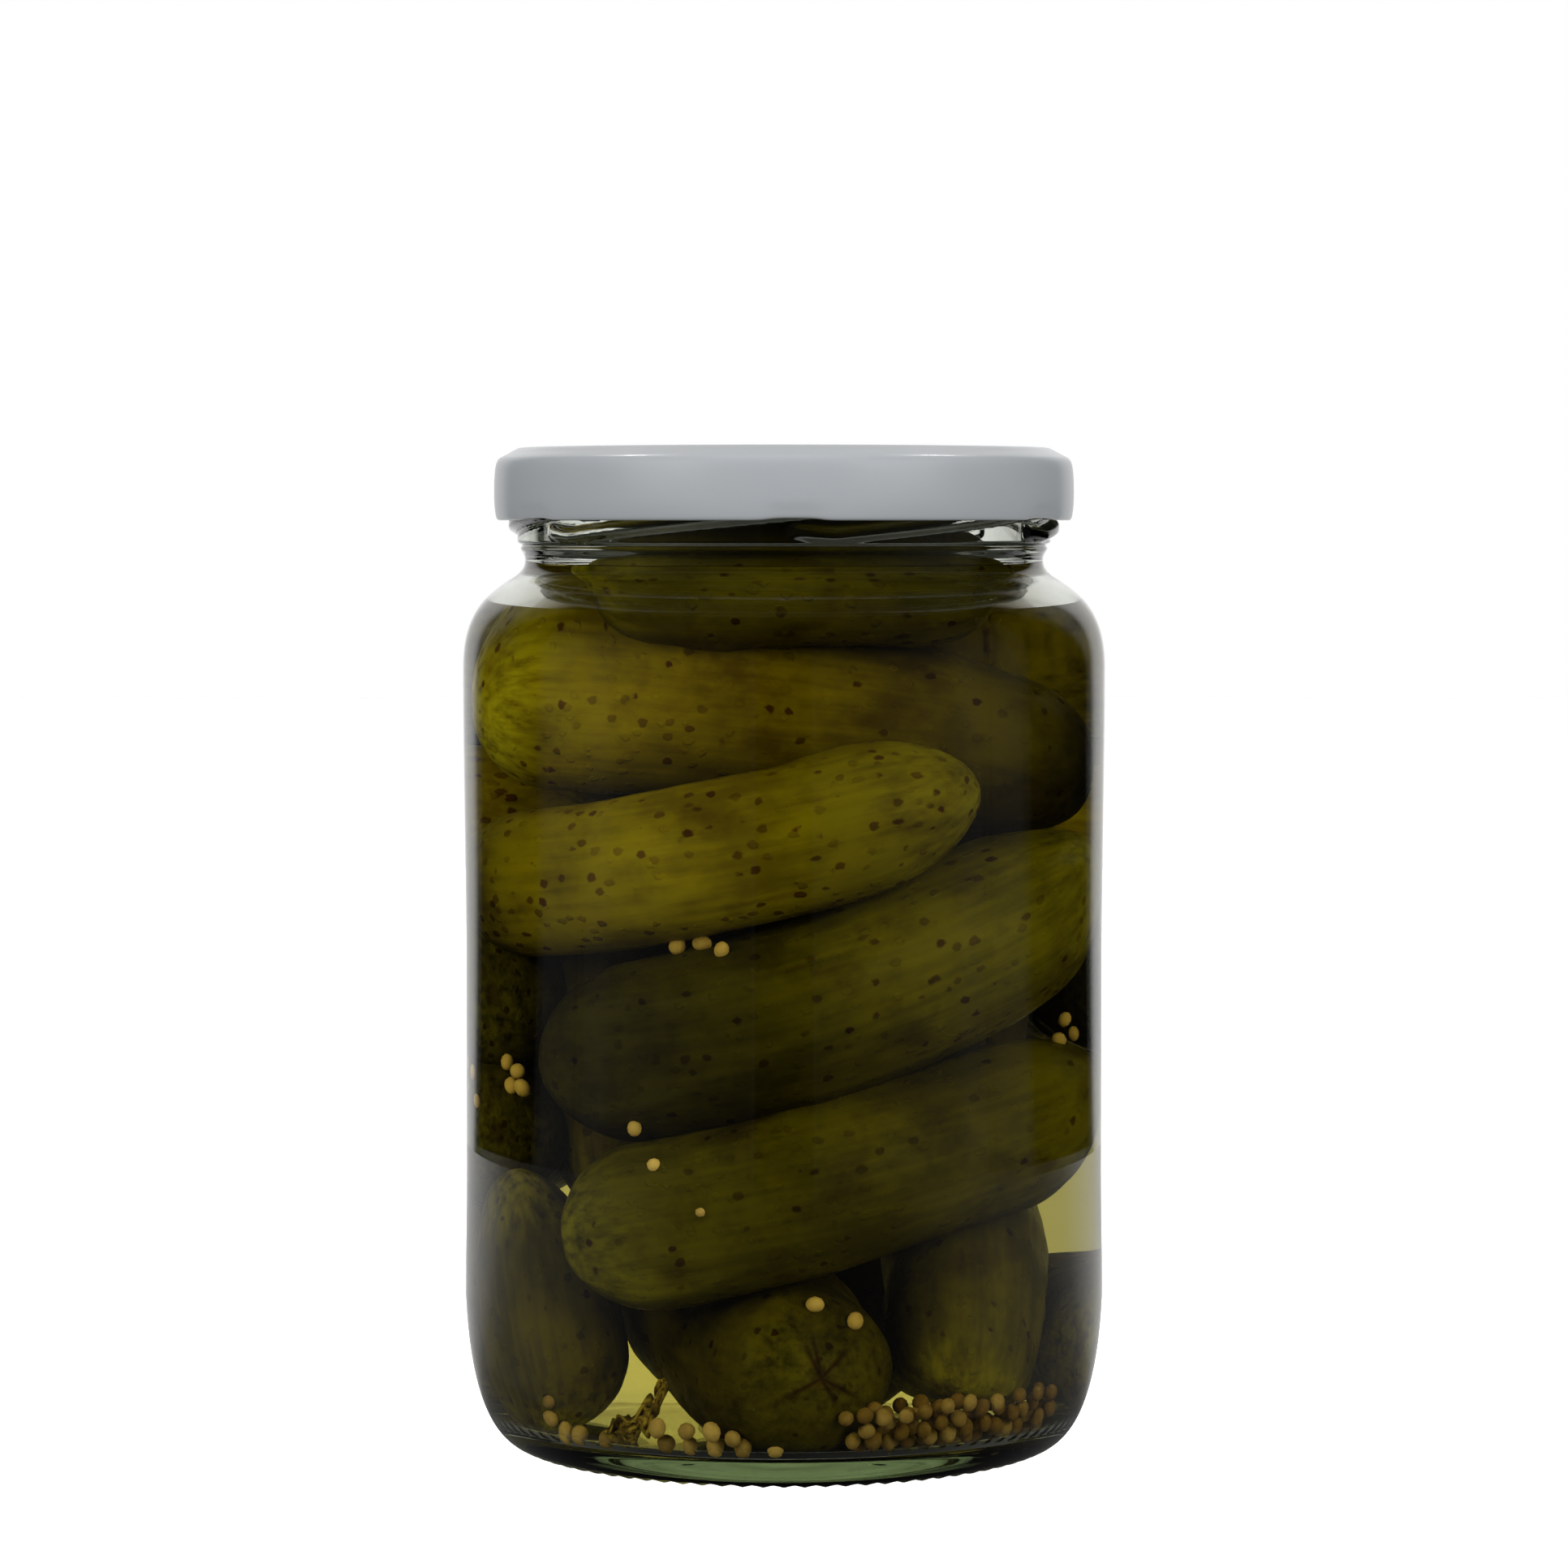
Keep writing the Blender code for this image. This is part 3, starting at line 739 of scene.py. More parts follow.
LID_UNDER: tuple[Point, ...] = ((34.9, 146.3), (33.2, 145.6), (0, 145.6))


@dataclass
class TwistLid:
    """The lid: thin sheet with a stepped top, a curled edge and six lugs drawn in."""

    steps: int = 360
    lugs: int = 6
    lug_first: float = 2.0  # azimuth
    lug_depth: float = 0.2 * MM
    lug_lift: float = 0.3 * MM
    lug_width: float = 5.5  # degrees
    lug_top: float = 139.0 * MM
    lug_fade: float = 1.6 * MM  # over this height it dies out upwards
    curl_low: float = 136.2 * MM
    curl_height: float = 2.0 * MM
    curl_inside: float = 41.1 * MM
    curl_width: float = 0.9 * MM

    def profile(self) -> list[Point]:
        """The sheet's outline, from the middle of the top round the curl and back underneath.

        Returns:
            Points of (radius, height).
        """
        points = [(0.0, LID_OUTSIDE[0][0][0][1] * MM)]
        for curve, pieces in LID_OUTSIDE:
            points += bezier(curve, pieces)
        return points + [(radius * MM, height * MM) for radius, height in LID_UNDER]

    def build(self, finish: LidEnamel) -> Object:
        """Models the lid and stands it in for its node.

        Args:
            finish: the enamel.

        Returns:
            The piece.
        """
        form = spun(self.profile(), self.steps)
        pitch = 360.0 / self.lugs
        for corner in form.verts:
            x, y, height = corner.co
            if height > self.lug_top:
                continue
            away = (math.degrees(math.atan2(x, -y)) - self.lug_first + pitch / 2) % pitch - pitch / 2
            low = min((self.lug_top - height) / self.lug_fade, 1.0)
            pinch = math.exp(-((away / self.lug_width) ** 4)) * low * low * (3 - 2 * low)
            radius = math.hypot(x, y)
            outer = min(max((radius - self.curl_inside) / self.curl_width, 0.0), 1.0)
            drawn = (radius - pinch * self.lug_depth * outer) / radius
            lift = pinch * self.lug_lift * max(0.0, 1.0 - (height - self.curl_low) / self.curl_height)
            corner.co = (x * drawn, y * drawn, height + lift)
        lid = as_piece(form, "lid_pressed", finish.material())
        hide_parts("lid")
        return lid


@dataclass
class BrineFill:
    """The brine, up to its level. It reaches just into the glass, so that no air gap shows."""

    steps: int = 256
    level: float = 128.6  # mm
    overlap: float = 0.2 * MM
    climb: float = 1.0  # mm, of the meniscus at the wall

    def profile(self, jar: GlassJar) -> list[Point]:
        """The liquid's outline, from the middle of the floor up the wall and back over its surface.

        Args:
            jar: the glass that holds it.

        Returns:
            Points of (radius, height).
        """
        top = (self.level + self.climb) * MM
        outline = [
            (radius + (self.overlap if radius else 0.0), height - self.overlap)
            for radius, height in jar.cavity(3)
            if height < top - 0.2 * MM
        ]
        edge = THROAT[3][0]
        outline.append((edge * MM + self.overlap, top))
        high, level = self.level + self.climb, self.level
        start = (edge + self.overlap / MM, high)
        outline += bezier((start, (edge - 0.3, level + 0.3), (edge - 1.2, level), (edge - 3, level)), 8)
        return outline + run((edge - 3, level), (0.0, level), 6)

    def build(self, jar: GlassJar, finish: PickleBrine) -> Object:
        """Models the brine.

        Args:
            jar: the glass that holds it.
            finish: the liquid.

        Returns:
            The piece.
        """
        form = spun(self.profile(jar), self.steps)
        return as_piece(form, "brine_fill", finish.material())


# --- What the jar holds ---
@dataclass(frozen=True)
class Cavity:
    """The space inside the glass, as limits on where its contents may be."""

    jar: GlassJar
    clearance: float = 0.2 * MM
    give: float = 0.7 * MM  # how softly a skin meets the glass

    @cache
    def outline(self) -> tuple[np.ndarray, np.ndarray]:
        """The radii and heights of the glass's inner surface, from the middle of its floor upwards."""
        radii, heights = zip(*self.jar.cavity(4))
        return np.array(radii), np.array(heights)

    def press(self, places: np.ndarray) -> np.ndarray:
        """Presses points that would cross the glass flat against it.

        Args:
            places: rows of x, y and z.

        Returns:
            The moved rows.
        """
        radii, heights = self.outline()
        low = int(heights.argmin())
        radius = np.hypot(places[:, 0], places[:, 1])
        floor = np.interp(radius, radii[: low + 1], heights[: low + 1]) + self.clearance
        height = self.soften(floor - places[:, 2], floor, -1.0)
        wall = np.minimum(
            np.interp(height - self.clearance, heights[low:], radii[low:]),
            np.interp(height + self.clearance, heights[low:], radii[low:]),
        )
        wall = wall - self.clearance
        kept = self.soften(radius - wall, wall, 1.0)
        scale = np.where(radius > 1e-9, kept / np.maximum(radius, 1e-9), 1.0)
        return np.column_stack((places[:, 0] * scale, places[:, 1] * scale, height))

    def soften(self, past: np.ndarray, limit: np.ndarray, side: float) -> np.ndarray:
        """Eases values into a limit.

        Args:
            past: how far each value is past its limit, negative inside.
            limit: the limits.
            side: 1 for an upper limit and -1 for a lower one.

        Returns:
            The eased values.
        """
        near = np.maximum(past + self.give, 0.0)
        eased = -self.give + self.give * (1.0 - np.exp(-near / self.give))
        return limit + side * np.where(past > -self.give, eased, past)


# How light the skins are under the lid: at these heights, these shares
LID_SHADOW = ((115 * MM, 129 * MM), (1.0, 0.3))
# How many sides and rings a gherkin has: one seen close to the front glass, and any other
CLOSE_MESH = (112, 150)
PLAIN_MESH = (64, 84)
# The usual gherkin, in mm, on which what is uneven is laid out
USUAL_RADIUS = 12.0
USUAL_LENGTH = 75.0


@dataclass(frozen=True)
class Gherkin:
    """One gherkin. Its tips and the middle of its bent axis are in millimetres."""

    name: str
    tip: tuple[float, float, float]
    middle: tuple[float, float, float]
    end: tuple[float, float, float]
    radius: float
    tone: Tone = Tone.OLIVE
    pale_tip: float = 0.3
    pale_end: float = 0.2
    star_tip: bool = False
    fine: bool = False
    cap: float = 1.25  # how long each rounded end is, in radii
    shade: tuple[float, ...] = (1.0, 1.0)  # how light its skin is drawn at even steps from its tip to its end: partly its own tone, partly painted light and shade from where light falls on it in the heap
    warty: float = 0.5  # the share of its warts that are brown
    barrel: float = 0.07  # each of these is a share of the radius
    three_sided: float = 0.018
    wavy: float = 0.016
    knobbly: float = 0.006
    crease: float = 0.035
    crease_reach: float = 0.13  # a share of the length
    scar: float = 0.2 * MM
    cracks: int = 6
    crack_length: Point = (1.0 * MM, 3.2 * MM)
    crack_width: float = 0.35 * MM

    def axis(self, share: np.ndarray) -> tuple[np.ndarray, np.ndarray]:
        """Points and directions along the bent axis.

        Args:
            share: shares of the length, from 0 at the tip to 1 at the end.

        Returns:
            Rows of places in metres, and of unit directions.
        """
        tip, middle, end = (np.array(place) * MM for place in (self.tip, self.middle, self.end))
        bend = 2.0 * middle - 0.5 * (tip + end)
        s = share[:, None]
        place = (1 - s) ** 2 * tip + 2 * (1 - s) * s * bend + s**2 * end
        along = 2 * (1 - s) * (bend - tip) + 2 * s * (end - bend)
        return place, along / np.linalg.norm(along, axis=1)[:, None]

    def girth(self, share: np.ndarray, angle: np.ndarray, draw: np.random.Generator) -> np.ndarray:
        """The radius over the skin: a blunt, three-sided, uneven body that is creased towards its tips.

        Args:
            share: shares of the length.
            angle: angles round the axis.
            draw: the seeded source of what is uneven.

        Returns:
            Radii in metres.
        """
        length = math.dist(self.tip, self.middle) + math.dist(self.middle, self.end)
        from_end = length * np.minimum(share, 1.0 - share) / (self.cap * self.radius)
        outline = np.sqrt(1.0 - np.maximum(1.0 - from_end, 0.0) ** 2)
        outline = outline * (1.0 - self.barrel * (2.0 * share - 1.0) ** 2)
        turned = angle + draw.uniform(0, 6.28) + 0.8 * share
        ring = USUAL_RADIUS * np.column_stack((np.cos(angle), np.sin(angle)))
        straight = np.column_stack((ring, share * USUAL_LENGTH))
        uneven = self.three_sided * np.cos(3 * turned) + self.wavy * waves(straight, 26.0, draw)
        uneven = uneven + self.knobbly * waves(straight, 8.0, draw)
        taper = 0.05 * draw.uniform(-1, 1) * (share - 0.5)
        near_tip = sum(np.exp(-(away / self.crease_reach) ** 2) for away in (share, 1 - share))
        creases = np.abs(np.sin(4.5 * angle + 0.7 * np.sin(share * 25.0) + draw.uniform(0, 6)))
        creased = -self.crease * near_tip * (1.0 - creases) ** 2
        return self.radius * MM * outline * (1.0 + uneven + taper + creased)

    def build(self, number: int, cavity: Cavity, material: Material) -> Object:
        """Models the gherkin.

        Args:
            number: its place in the heap, which seeds what is uneven.
            cavity: the space that it is pressed into.
            material: its skin.

        Returns:
            The piece.
        """
        draw = np.random.default_rng(100 + number)
        form = bmesh.new()
        form.from_mesh(ball(*(CLOSE_MESH if self.fine else PLAIN_MESH)))
        piece = as_piece(form, "gherkin_" + self.name, material)
        unit = places_of(piece.data)
        share, angle = 0.5 + 0.5 * np.clip(unit[:, 2], -1, 1), np.arctan2(unit[:, 1], unit[:, 0])
        place, along = self.axis(share)
        whole = np.array(self.end, float) - np.array(self.tip, float)
        lying = abs(whole[2]) < 0.7 * np.linalg.norm(whole)
        side = np.cross(along, (0.0, 0.0, 1.0) if lying else (0.0, 1.0, 0.0))
        side /= np.linalg.norm(side, axis=1)[:, None]
        up = np.cross(along, side)
        girth = self.girth(share, angle, draw)
        across = side * np.cos(angle)[:, None] + up * np.sin(angle)[:, None]
        moved = cavity.press(place + across * girth[:, None])
        piece.data.vertices.foreach_set("co", moved.ravel())
        length = float(np.linalg.norm(whole)) * MM
        shift = draw.uniform(0, 0.5, 3)
        straight = np.column_stack((np.cos(angle) * girth, np.sin(angle) * girth, share * length))
        store(piece.data, "skin", straight + shift)
        blotch = 0.5 + 0.5 * waves(straight, 14 * MM, draw)
        ends = ((self.pale_tip, share), (self.pale_end, 1 - share))
        pale = sum(strength * np.exp(-(away / 0.16) ** 2) for strength, away in ends)
        store(piece.data, "pale", np.clip(pale * (0.7 + 0.6 * blotch), 0, 1))
        store(piece.data, "scar", self.star(share, angle, length, draw))
        # painted light and shade: the lid's painted shadow near the top, times the light and shade painted
        # along the gherkin with its own tone
        under_lid = np.interp(moved[:, 2], *LID_SHADOW)
        along_it = np.interp(share, np.linspace(0.0, 1.0, len(self.shade)), self.shade)
        store(piece.data, "shade", under_lid * along_it)
        store(piece.data, "warty", np.full(len(share), self.warty))
        piece.data.update()
        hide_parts("gherkins")
        return piece

    def star(
        self, share: np.ndarray, angle: np.ndarray, length: float, draw: np.random.Generator
    ) -> np.ndarray:
        """The brown mark on each end: a small blossom scar, and the cracks that run from it on a starred tip.

        Args:
            share: shares of the length.
            angle: angles round the axis.
            length: the gherkin's length in metres.
            draw: the seeded source of the cracks.

        Returns:
            The mark's strength at each point.
        """
        mark = sum(0.6 * np.exp(-(away * length / self.scar) ** 2) for away in (share, 1 - share))
        if self.star_tip:
            for crack in draw.uniform(0, 2 * math.pi, self.cracks):
                away = np.abs((angle - crack + math.pi) % (2 * math.pi) - math.pi)
                wander = away * self.radius * MM * np.sqrt(np.maximum(1 - (1 - 2 * share) ** 2, 0))
                reach = np.exp(-(share * length / draw.uniform(*self.crack_length)) ** 2)
                mark = np.maximum(mark, reach * np.exp(-(wander / self.crack_width) ** 2))
        return np.clip(mark, 0, 1)


# fmt: off
HEAP = (
    Gherkin("top_front", (-27, -12, 126.5), (1, -20.5, 127), (30.5, -13, 126.5), 10.3, Tone.OLIVE,
            shade=(2.4, 1.8, 0.9)),
    Gherkin("upper_front", (-41, -6, 110), (-2, -14, 107.5), (41, -8, 99), 12.3, Tone.BRIGHT,
            pale_tip=0.9, pale_end=0.0, fine=True, shade=(1.0, 1.05, 0.72, 0.4, 0.0), warty=0.3),
    Gherkin("middle_front", (-38, 6, 82.5), (-12, -31.4, 88), (24.8, -25, 98.7), 10.8, Tone.BRIGHT,
            pale_tip=0.1, pale_end=0.9, fine=True, cap=1.5, shade=(0.27, 0.8, 1.0, 0.54, 0.57), warty=0.9),
    Gherkin("centre_front", (-31.5, -22, 59.5), (3, -30, 67.2), (41, -2, 86), 13.3, Tone.OLIVE,
            pale_tip=0.0, pale_end=0.1, fine=True, shade=(0.25, 0.4, 0.45, 1.2, 1.4, 1.3), warty=0.45),
    Gherkin("lower_front", (-29, -27, 34), (4, -31.5, 42), (41, 0, 52.7), 12.3, Tone.OLIVE,
            pale_tip=0.35, pale_end=0.0, fine=True, shade=(0.65, 0.8, 1.2), warty=0.2),
    Gherkin("floor_left", (-27.3, -18, 6), (-30.8, -16, 20), (-33.5, -10, 42), 11.4, Tone.DEEP,
            pale_end=0.3, fine=True, shade=(1.8, 1.5, 1.0), warty=0.35),
    Gherkin("floor_front", (5, -42, 16.5), (-2.5, -22, 18.5), (-13, 8, 31), 12.8, Tone.DEEP,
            pale_tip=0.1, pale_end=0.1, star_tip=True, fine=True, shade=(0.8, 1.0, 1.0)),
    Gherkin("floor_right", (22, -24, 10.5), (22.5, -16, 22), (19, 5, 42), 10.5, Tone.OLIVE,
            pale_end=0.3, fine=True, shade=(1.4, 1.0, 0.9), warty=0.25),
    Gherkin("floor_far_right", (38, -9, 15.5), (35, 9, 15.5), (14, 32, 16), 10.0, Tone.DEEP, fine=True),
    Gherkin("left_upper", (-38, -11, 67), (-32, 9, 65), (-14, 33, 62), 12.2, Tone.DEEP,
            fine=True, shade=(0.5, 0.8, 1.0)),
    Gherkin("left_lower", (-37.5, -13, 47.5), (-34, 4, 46), (-22, 28, 43), 11.2, Tone.DEEP,
            fine=True, shade=(0.5, 0.8, 1.0)),
    Gherkin("right_middle", (39, -2, 69), (33, 17, 68.5), (8, 33, 67), 12.3, Tone.DEEP,
            shade=(0.3, 0.6, 1.0)),
    Gherkin("back_top", (-30, 24, 113), (0, 31.5, 114), (31, 22, 112), 11.5, Tone.OLIVE),
    Gherkin("back_upper", (-36, 12, 92), (-4, 31, 90), (32, 24, 88), 12.4, Tone.BRIGHT, warty=0.8),
    Gherkin("back_lower", (6, 30, 8), (3, 32, 28), (-4, 30, 52), 11.5, Tone.OLIVE),
    Gherkin("back_left", (-26, 18, 7), (-27, 21, 21), (-26, 23, 38), 11.4, Tone.OLIVE),
    Gherkin("inside_low", (2, 1, 41), (0, 4, 69), (-3, 4, 95), 12.0, Tone.DEEP),
    Gherkin("inside_high", (-26, 8, 101), (2, 7, 102), (30, 9, 95), 11.0, Tone.DEEP),
    Gherkin("top_back", (-22, 13, 125), (1, 16.5, 126), (25, 13, 125), 10.0, Tone.DEEP),
    Gherkin("inside_floor", (-8, 8, 14), (8, 13, 19), (17, 14, 55), 9.5, Tone.DEEP),
    Gherkin("inside_left", (-16, -3, 33), (-17, 0, 62), (-14, 1, 88), 9.5, Tone.DEEP),
    Gherkin("inside_right", (13, -3, 30), (17, 2, 57), (16, 4, 84), 9.5, Tone.DEEP),
)
# fmt: on


@dataclass
class GherkinHeap:
    """All the gherkins."""

    cavity: Cavity
    gherkins: Sequence[Gherkin] = HEAP
    pieces: list[Object] = field(default_factory=list)

    def build(self) -> list[Object]:
        """Models every gherkin, each in the skin of its tone.

        Returns:
            The pieces.
        """
        skins = {tone: GherkinSkin(tone).material() for tone in Tone}
        for number, gherkin in enumerate(self.gherkins):
            self.pieces.append(gherkin.build(number, self.cavity, skins[gherkin.tone]))
        return self.pieces

    def trees(self) -> list[BVHTree]:
        """Makes search trees over the gherkins, for what rests on them.

        Returns:
            One tree for each gherkin.
        """
        found = []
        for piece in self.pieces:
            places = [Vector(row) for row in places_of(piece.data)]
            found.append(BVHTree.FromPolygons(places, [tuple(face.vertices) for face in piece.data.polygons]))
        return found


@dataclass
class MustardSeeds:
    """The loose mustard seeds: those caught between a gherkin and the glass, and those on the floor."""

    cavity: Cavity
    radius: float = 1.22 * MM
    sides: int = 10
    rings: int = 6
    heap_count: int = 150
    heap_top: float = 11.8 * MM
    heap_azimuths: Point = (8.0, 63.0)
    heap_reach: Point = (33.0 * MM, 42.8 * MM)  # from the axis
    rim_reach: float = 39.0 * MM  # where every third one falls, at the least
    tries: int = 14
    # painted shade: the seeds on the floor are drawn darker than those caught higher up, as they lie in shade
    lined_dark: float = 0.4  # how far painted shade darkens a coat, 0 to 1
    heap_dark: float = 0.8
    seed: int = 11
    # (azimuth, height in mm) of the seeds that are caught on the gherkins in front, at the right and the left
    caught: tuple[Point, ...] = (
        *((-23, 76.4), (-17.5, 76.9), (-12.5, 76.2), (-29, 50.9), (-24, 46), (-15, 39.8), (6.2, 26.3)),
        *((14.5, 23.8), (77, 63.6), (74, 60.8), (82, 61.2), (-86, 56.5), (-80, 55.5), (-75, 57.5)),
        *((-73, 54.2), (-70, 56.5), (-68, 54.2), (-83, 53), (-76, 51.6)),
    )
    # the same of those that lie along the glass at the left of the floor
    lined: tuple[Point, ...] = (
        *((-50.5, 10.8), (-51.5, 8.5), (-49, 6.7), (-45, 6.7), (-38, 6.6), (-24, 6.8), (-25, 8.9)),
        *((-19, 8.7), (-19, 6.7), (-14, 8.8), (-13.8, 6.7), (-10, 7.9), (-8.2, 6.7), (-1.6, 6.7)),
    )

    def add_seed(self, form: BMesh, place: Vector, draw: random.Random, dark: float) -> None:
        """Adds one seed: a slightly long ball, turned at random.

        Args:
            form: what it is added to.
            place: its centre.
            draw: the seeded source of its size and turn.
            dark: how far its coat is drawn darker, as painted shade.
        """
        size = self.radius * draw.uniform(0.88, 1.1)
        turn = Matrix.Rotation(draw.uniform(0, 6.28), 4, "Z") @ Matrix.Rotation(draw.uniform(0, 3.14), 4, "X")
        shape = Matrix.Diagonal((size, size * 0.95, size * draw.uniform(1.02, 1.14), 1.0))
        matrix = Matrix.Translation(place) @ turn @ shape
        before = len(form.verts)
        form.from_mesh(ball(self.sides, self.rings))
        form.verts.ensure_lookup_table()
        made = form.verts[before:]
        bmesh.ops.transform(form, matrix=matrix, verts=made)
        tone = form.verts.layers.float["tone"]
        own = dark + draw.uniform(-0.3, 0.3)
        for corner in made:
            corner[tone] = own

    def floor_height(self, radius: float) -> float:
        """Finds the top of the glass floor.

        Args:
            radius: the distance from the axis.

        Returns:
            Its height there.
        """
        radii, heights = self.cavity.outline()
        low = int(heights.argmin())
        if radius <= radii[low]:
            return float(np.interp(radius, radii[: low + 1], heights[: low + 1]))
        widest = int(radii.argmax())
        return float(np.interp(radius, radii[low : widest + 1], heights[low : widest + 1]))

    def settle(self, trees: list[BVHTree], draw: random.Random) -> list[Vector]:
        """Lines seeds up at the left of the floor, and drops others at its right to the lowest place tried.

        Args:
            trees: the gherkins.
            draw: the seeded source of the places tried.

        Returns:
            The centres.
        """
        centres = [self.beside_wall(*place) for place in self.lined]
        nearest, farthest = self.heap_reach
        for number in range(self.heap_count):
            found: list[Vector] = []
            for _ in range(self.tries):
                azimuth = draw.uniform(*self.heap_azimuths)
                reach = draw.uniform(nearest if number % 3 else self.rim_reach, farthest)
                place = self.drop(on_circle(azimuth, reach, 0.0), centres, trees)
                if place is not None:
                    found.append(place)
            lowest = min(found, key=lambda place: place.z, default=None)
            if lowest is not None and lowest.z < self.heap_top:
                centres.append(lowest)
        return centres

    def drop(self, over: Vector, centres: list[Vector], trees: list[BVHTree]) -> Vector | None:
        """Finds where a seed that falls at a place comes to rest.

        Args:
            over: the place, with any height.
            centres: the seeds that lie already.
            trees: the gherkins.

        Returns:
            The seed's centre, or None where a gherkin is in the way.
        """
        gap = self.radius * 1.02
        radius = math.hypot(over.x, over.y)
        height = max(self.floor_height(radius + step) + gap * 0.9 for step in (-0.5 * MM, 0.0, 0.5 * MM))
        for other in centres:
            flat = math.hypot(over.x - other.x, over.y - other.y)
            if flat < 2 * gap:
                height = max(height, other.z + math.sqrt(4 * gap * gap - flat * flat))
        place = Vector((over.x, over.y, height))
        for tree in trees:
            if tree.find_nearest(place, gap)[0] is not None:
                return None
        return place

    def beside_wall(self, azimuth: float, height: float) -> Vector:
        """Finds the centre of a seed that leans on the glass.

        Args:
            azimuth: in degrees.
            height: above the table, in millimetres.

        Returns:
            The centre.
        """
        radii, heights = self.cavity.outline()
        low = int(heights.argmin())
        wall = float(np.interp(height * MM, heights[low:], radii[low:]))
        return on_circle(azimuth, wall - 1.15 * self.radius, height * MM)

    def rest(self, azimuth: float, height: float, trees: list[BVHTree]) -> Vector:
        """Finds where a seed is caught between the glass and the gherkin behind it.

        Args:
            azimuth: in degrees.
            height: above the table.
            trees: the gherkins.

        Returns:
            The seed's centre.
        """
        inwards = -on_circle(azimuth, 1.0, 0.0)
        start = on_circle(azimuth, CORNER[3][0] * MM, height * MM)
        depths = [hit[3] for tree in trees if (hit := tree.ray_cast(start, inwards))[0] is not None]
        depth = max(min(depths, default=4 * MM) - self.radius * 0.9, self.radius * 0.93)
        return start + inwards * min(depth, 9 * MM)

    def build(self, heap: GherkinHeap, finish: MustardSeedCoat) -> Object:
        """Models the seeds as one piece.

        Args:
            heap: the gherkins that they lie on.
            finish: the seed coat.

        Returns:
            The piece.
        """
        draw, trees = random.Random(self.seed), heap.trees()
        form = bmesh.new()
        form.verts.layers.float.new("tone")
        # the caught seeds get no painted shade; those on the floor do
        for azimuth, height in self.caught:
            self.add_seed(form, self.rest(azimuth, height, trees), draw, 0.0)
        lying = self.settle(trees, draw)
        for number, place in enumerate(lying):
            dark = self.lined_dark if number < len(self.lined) else self.heap_dark
            self.add_seed(form, place, draw, dark)
        piece = as_piece(form, "mustard_seeds_loose", finish.material())
        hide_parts("mustard_seeds")
        LOG.info("seeds on the floor: %d", len(lying))
        return piece


@dataclass
class DillScrap:
    """A limp scrap of dill leaf that lies on the floor and leans up between two gherkins."""

    # its middle line: azimuths, distances from the axis in mm and heights in mm
    azimuths: tuple[float, ...] = (-37.0, -31.0, -26.5, -24.5)
    reaches: tuple[float, ...] = (39.5, 40.0, 39.5, 38.5)
    heights: tuple[float, ...] = (7.6, 8.6, 11.0, 15.0)
    width: float = 4.6 * MM
    wave: float = 0.8 * MM
    thickness: float = 0.3 * MM
    seed: int = 7

    def build(self, cavity: Cavity, finish: SoakedDill) -> Object:
        """Models the scrap.

        Args:
            cavity: the space that it must stay in.
            finish: its surface.

        Returns:
            The piece.
        """
        form = bmesh.new()
        bmesh.ops.create_grid(form, x_segments=36, y_segments=12, size=1.0)
        piece = as_piece(form, "dill_scrap", finish.material())
        unit = places_of(piece.data)
        draw = np.random.default_rng(self.seed)
        share = 0.5 + 0.5 * unit[:, 0]
        knots = np.linspace(0.0, 1.0, len(self.azimuths))
        line = (self.azimuths, self.reaches, self.heights)
        azimuth, radius, height = (np.interp(share, knots, column) for column in line)
        ragged = 0.75 + 0.45 * waves(unit * 8, 3.0, draw)
        across = unit[:, 1] * 0.5 * self.width * ragged * np.sqrt(1.02 - (2 * share - 1) ** 4)
        curl = self.wave * waves(unit * 8, 4.0, draw)
        turn = np.radians(azimuth)
        reach = radius * MM + curl - 0.25 * across
        places = np.column_stack((reach * np.sin(turn), -reach * np.cos(turn), height * MM + across))
        piece.data.vertices.foreach_set("co", cavity.press(places).ravel())
        piece.data.update()
        sheet = piece.modifiers.new("sheet", "SOLIDIFY")
        sheet.thickness, sheet.offset = self.thickness, 0.0
        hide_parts("gherkins")
        return piece


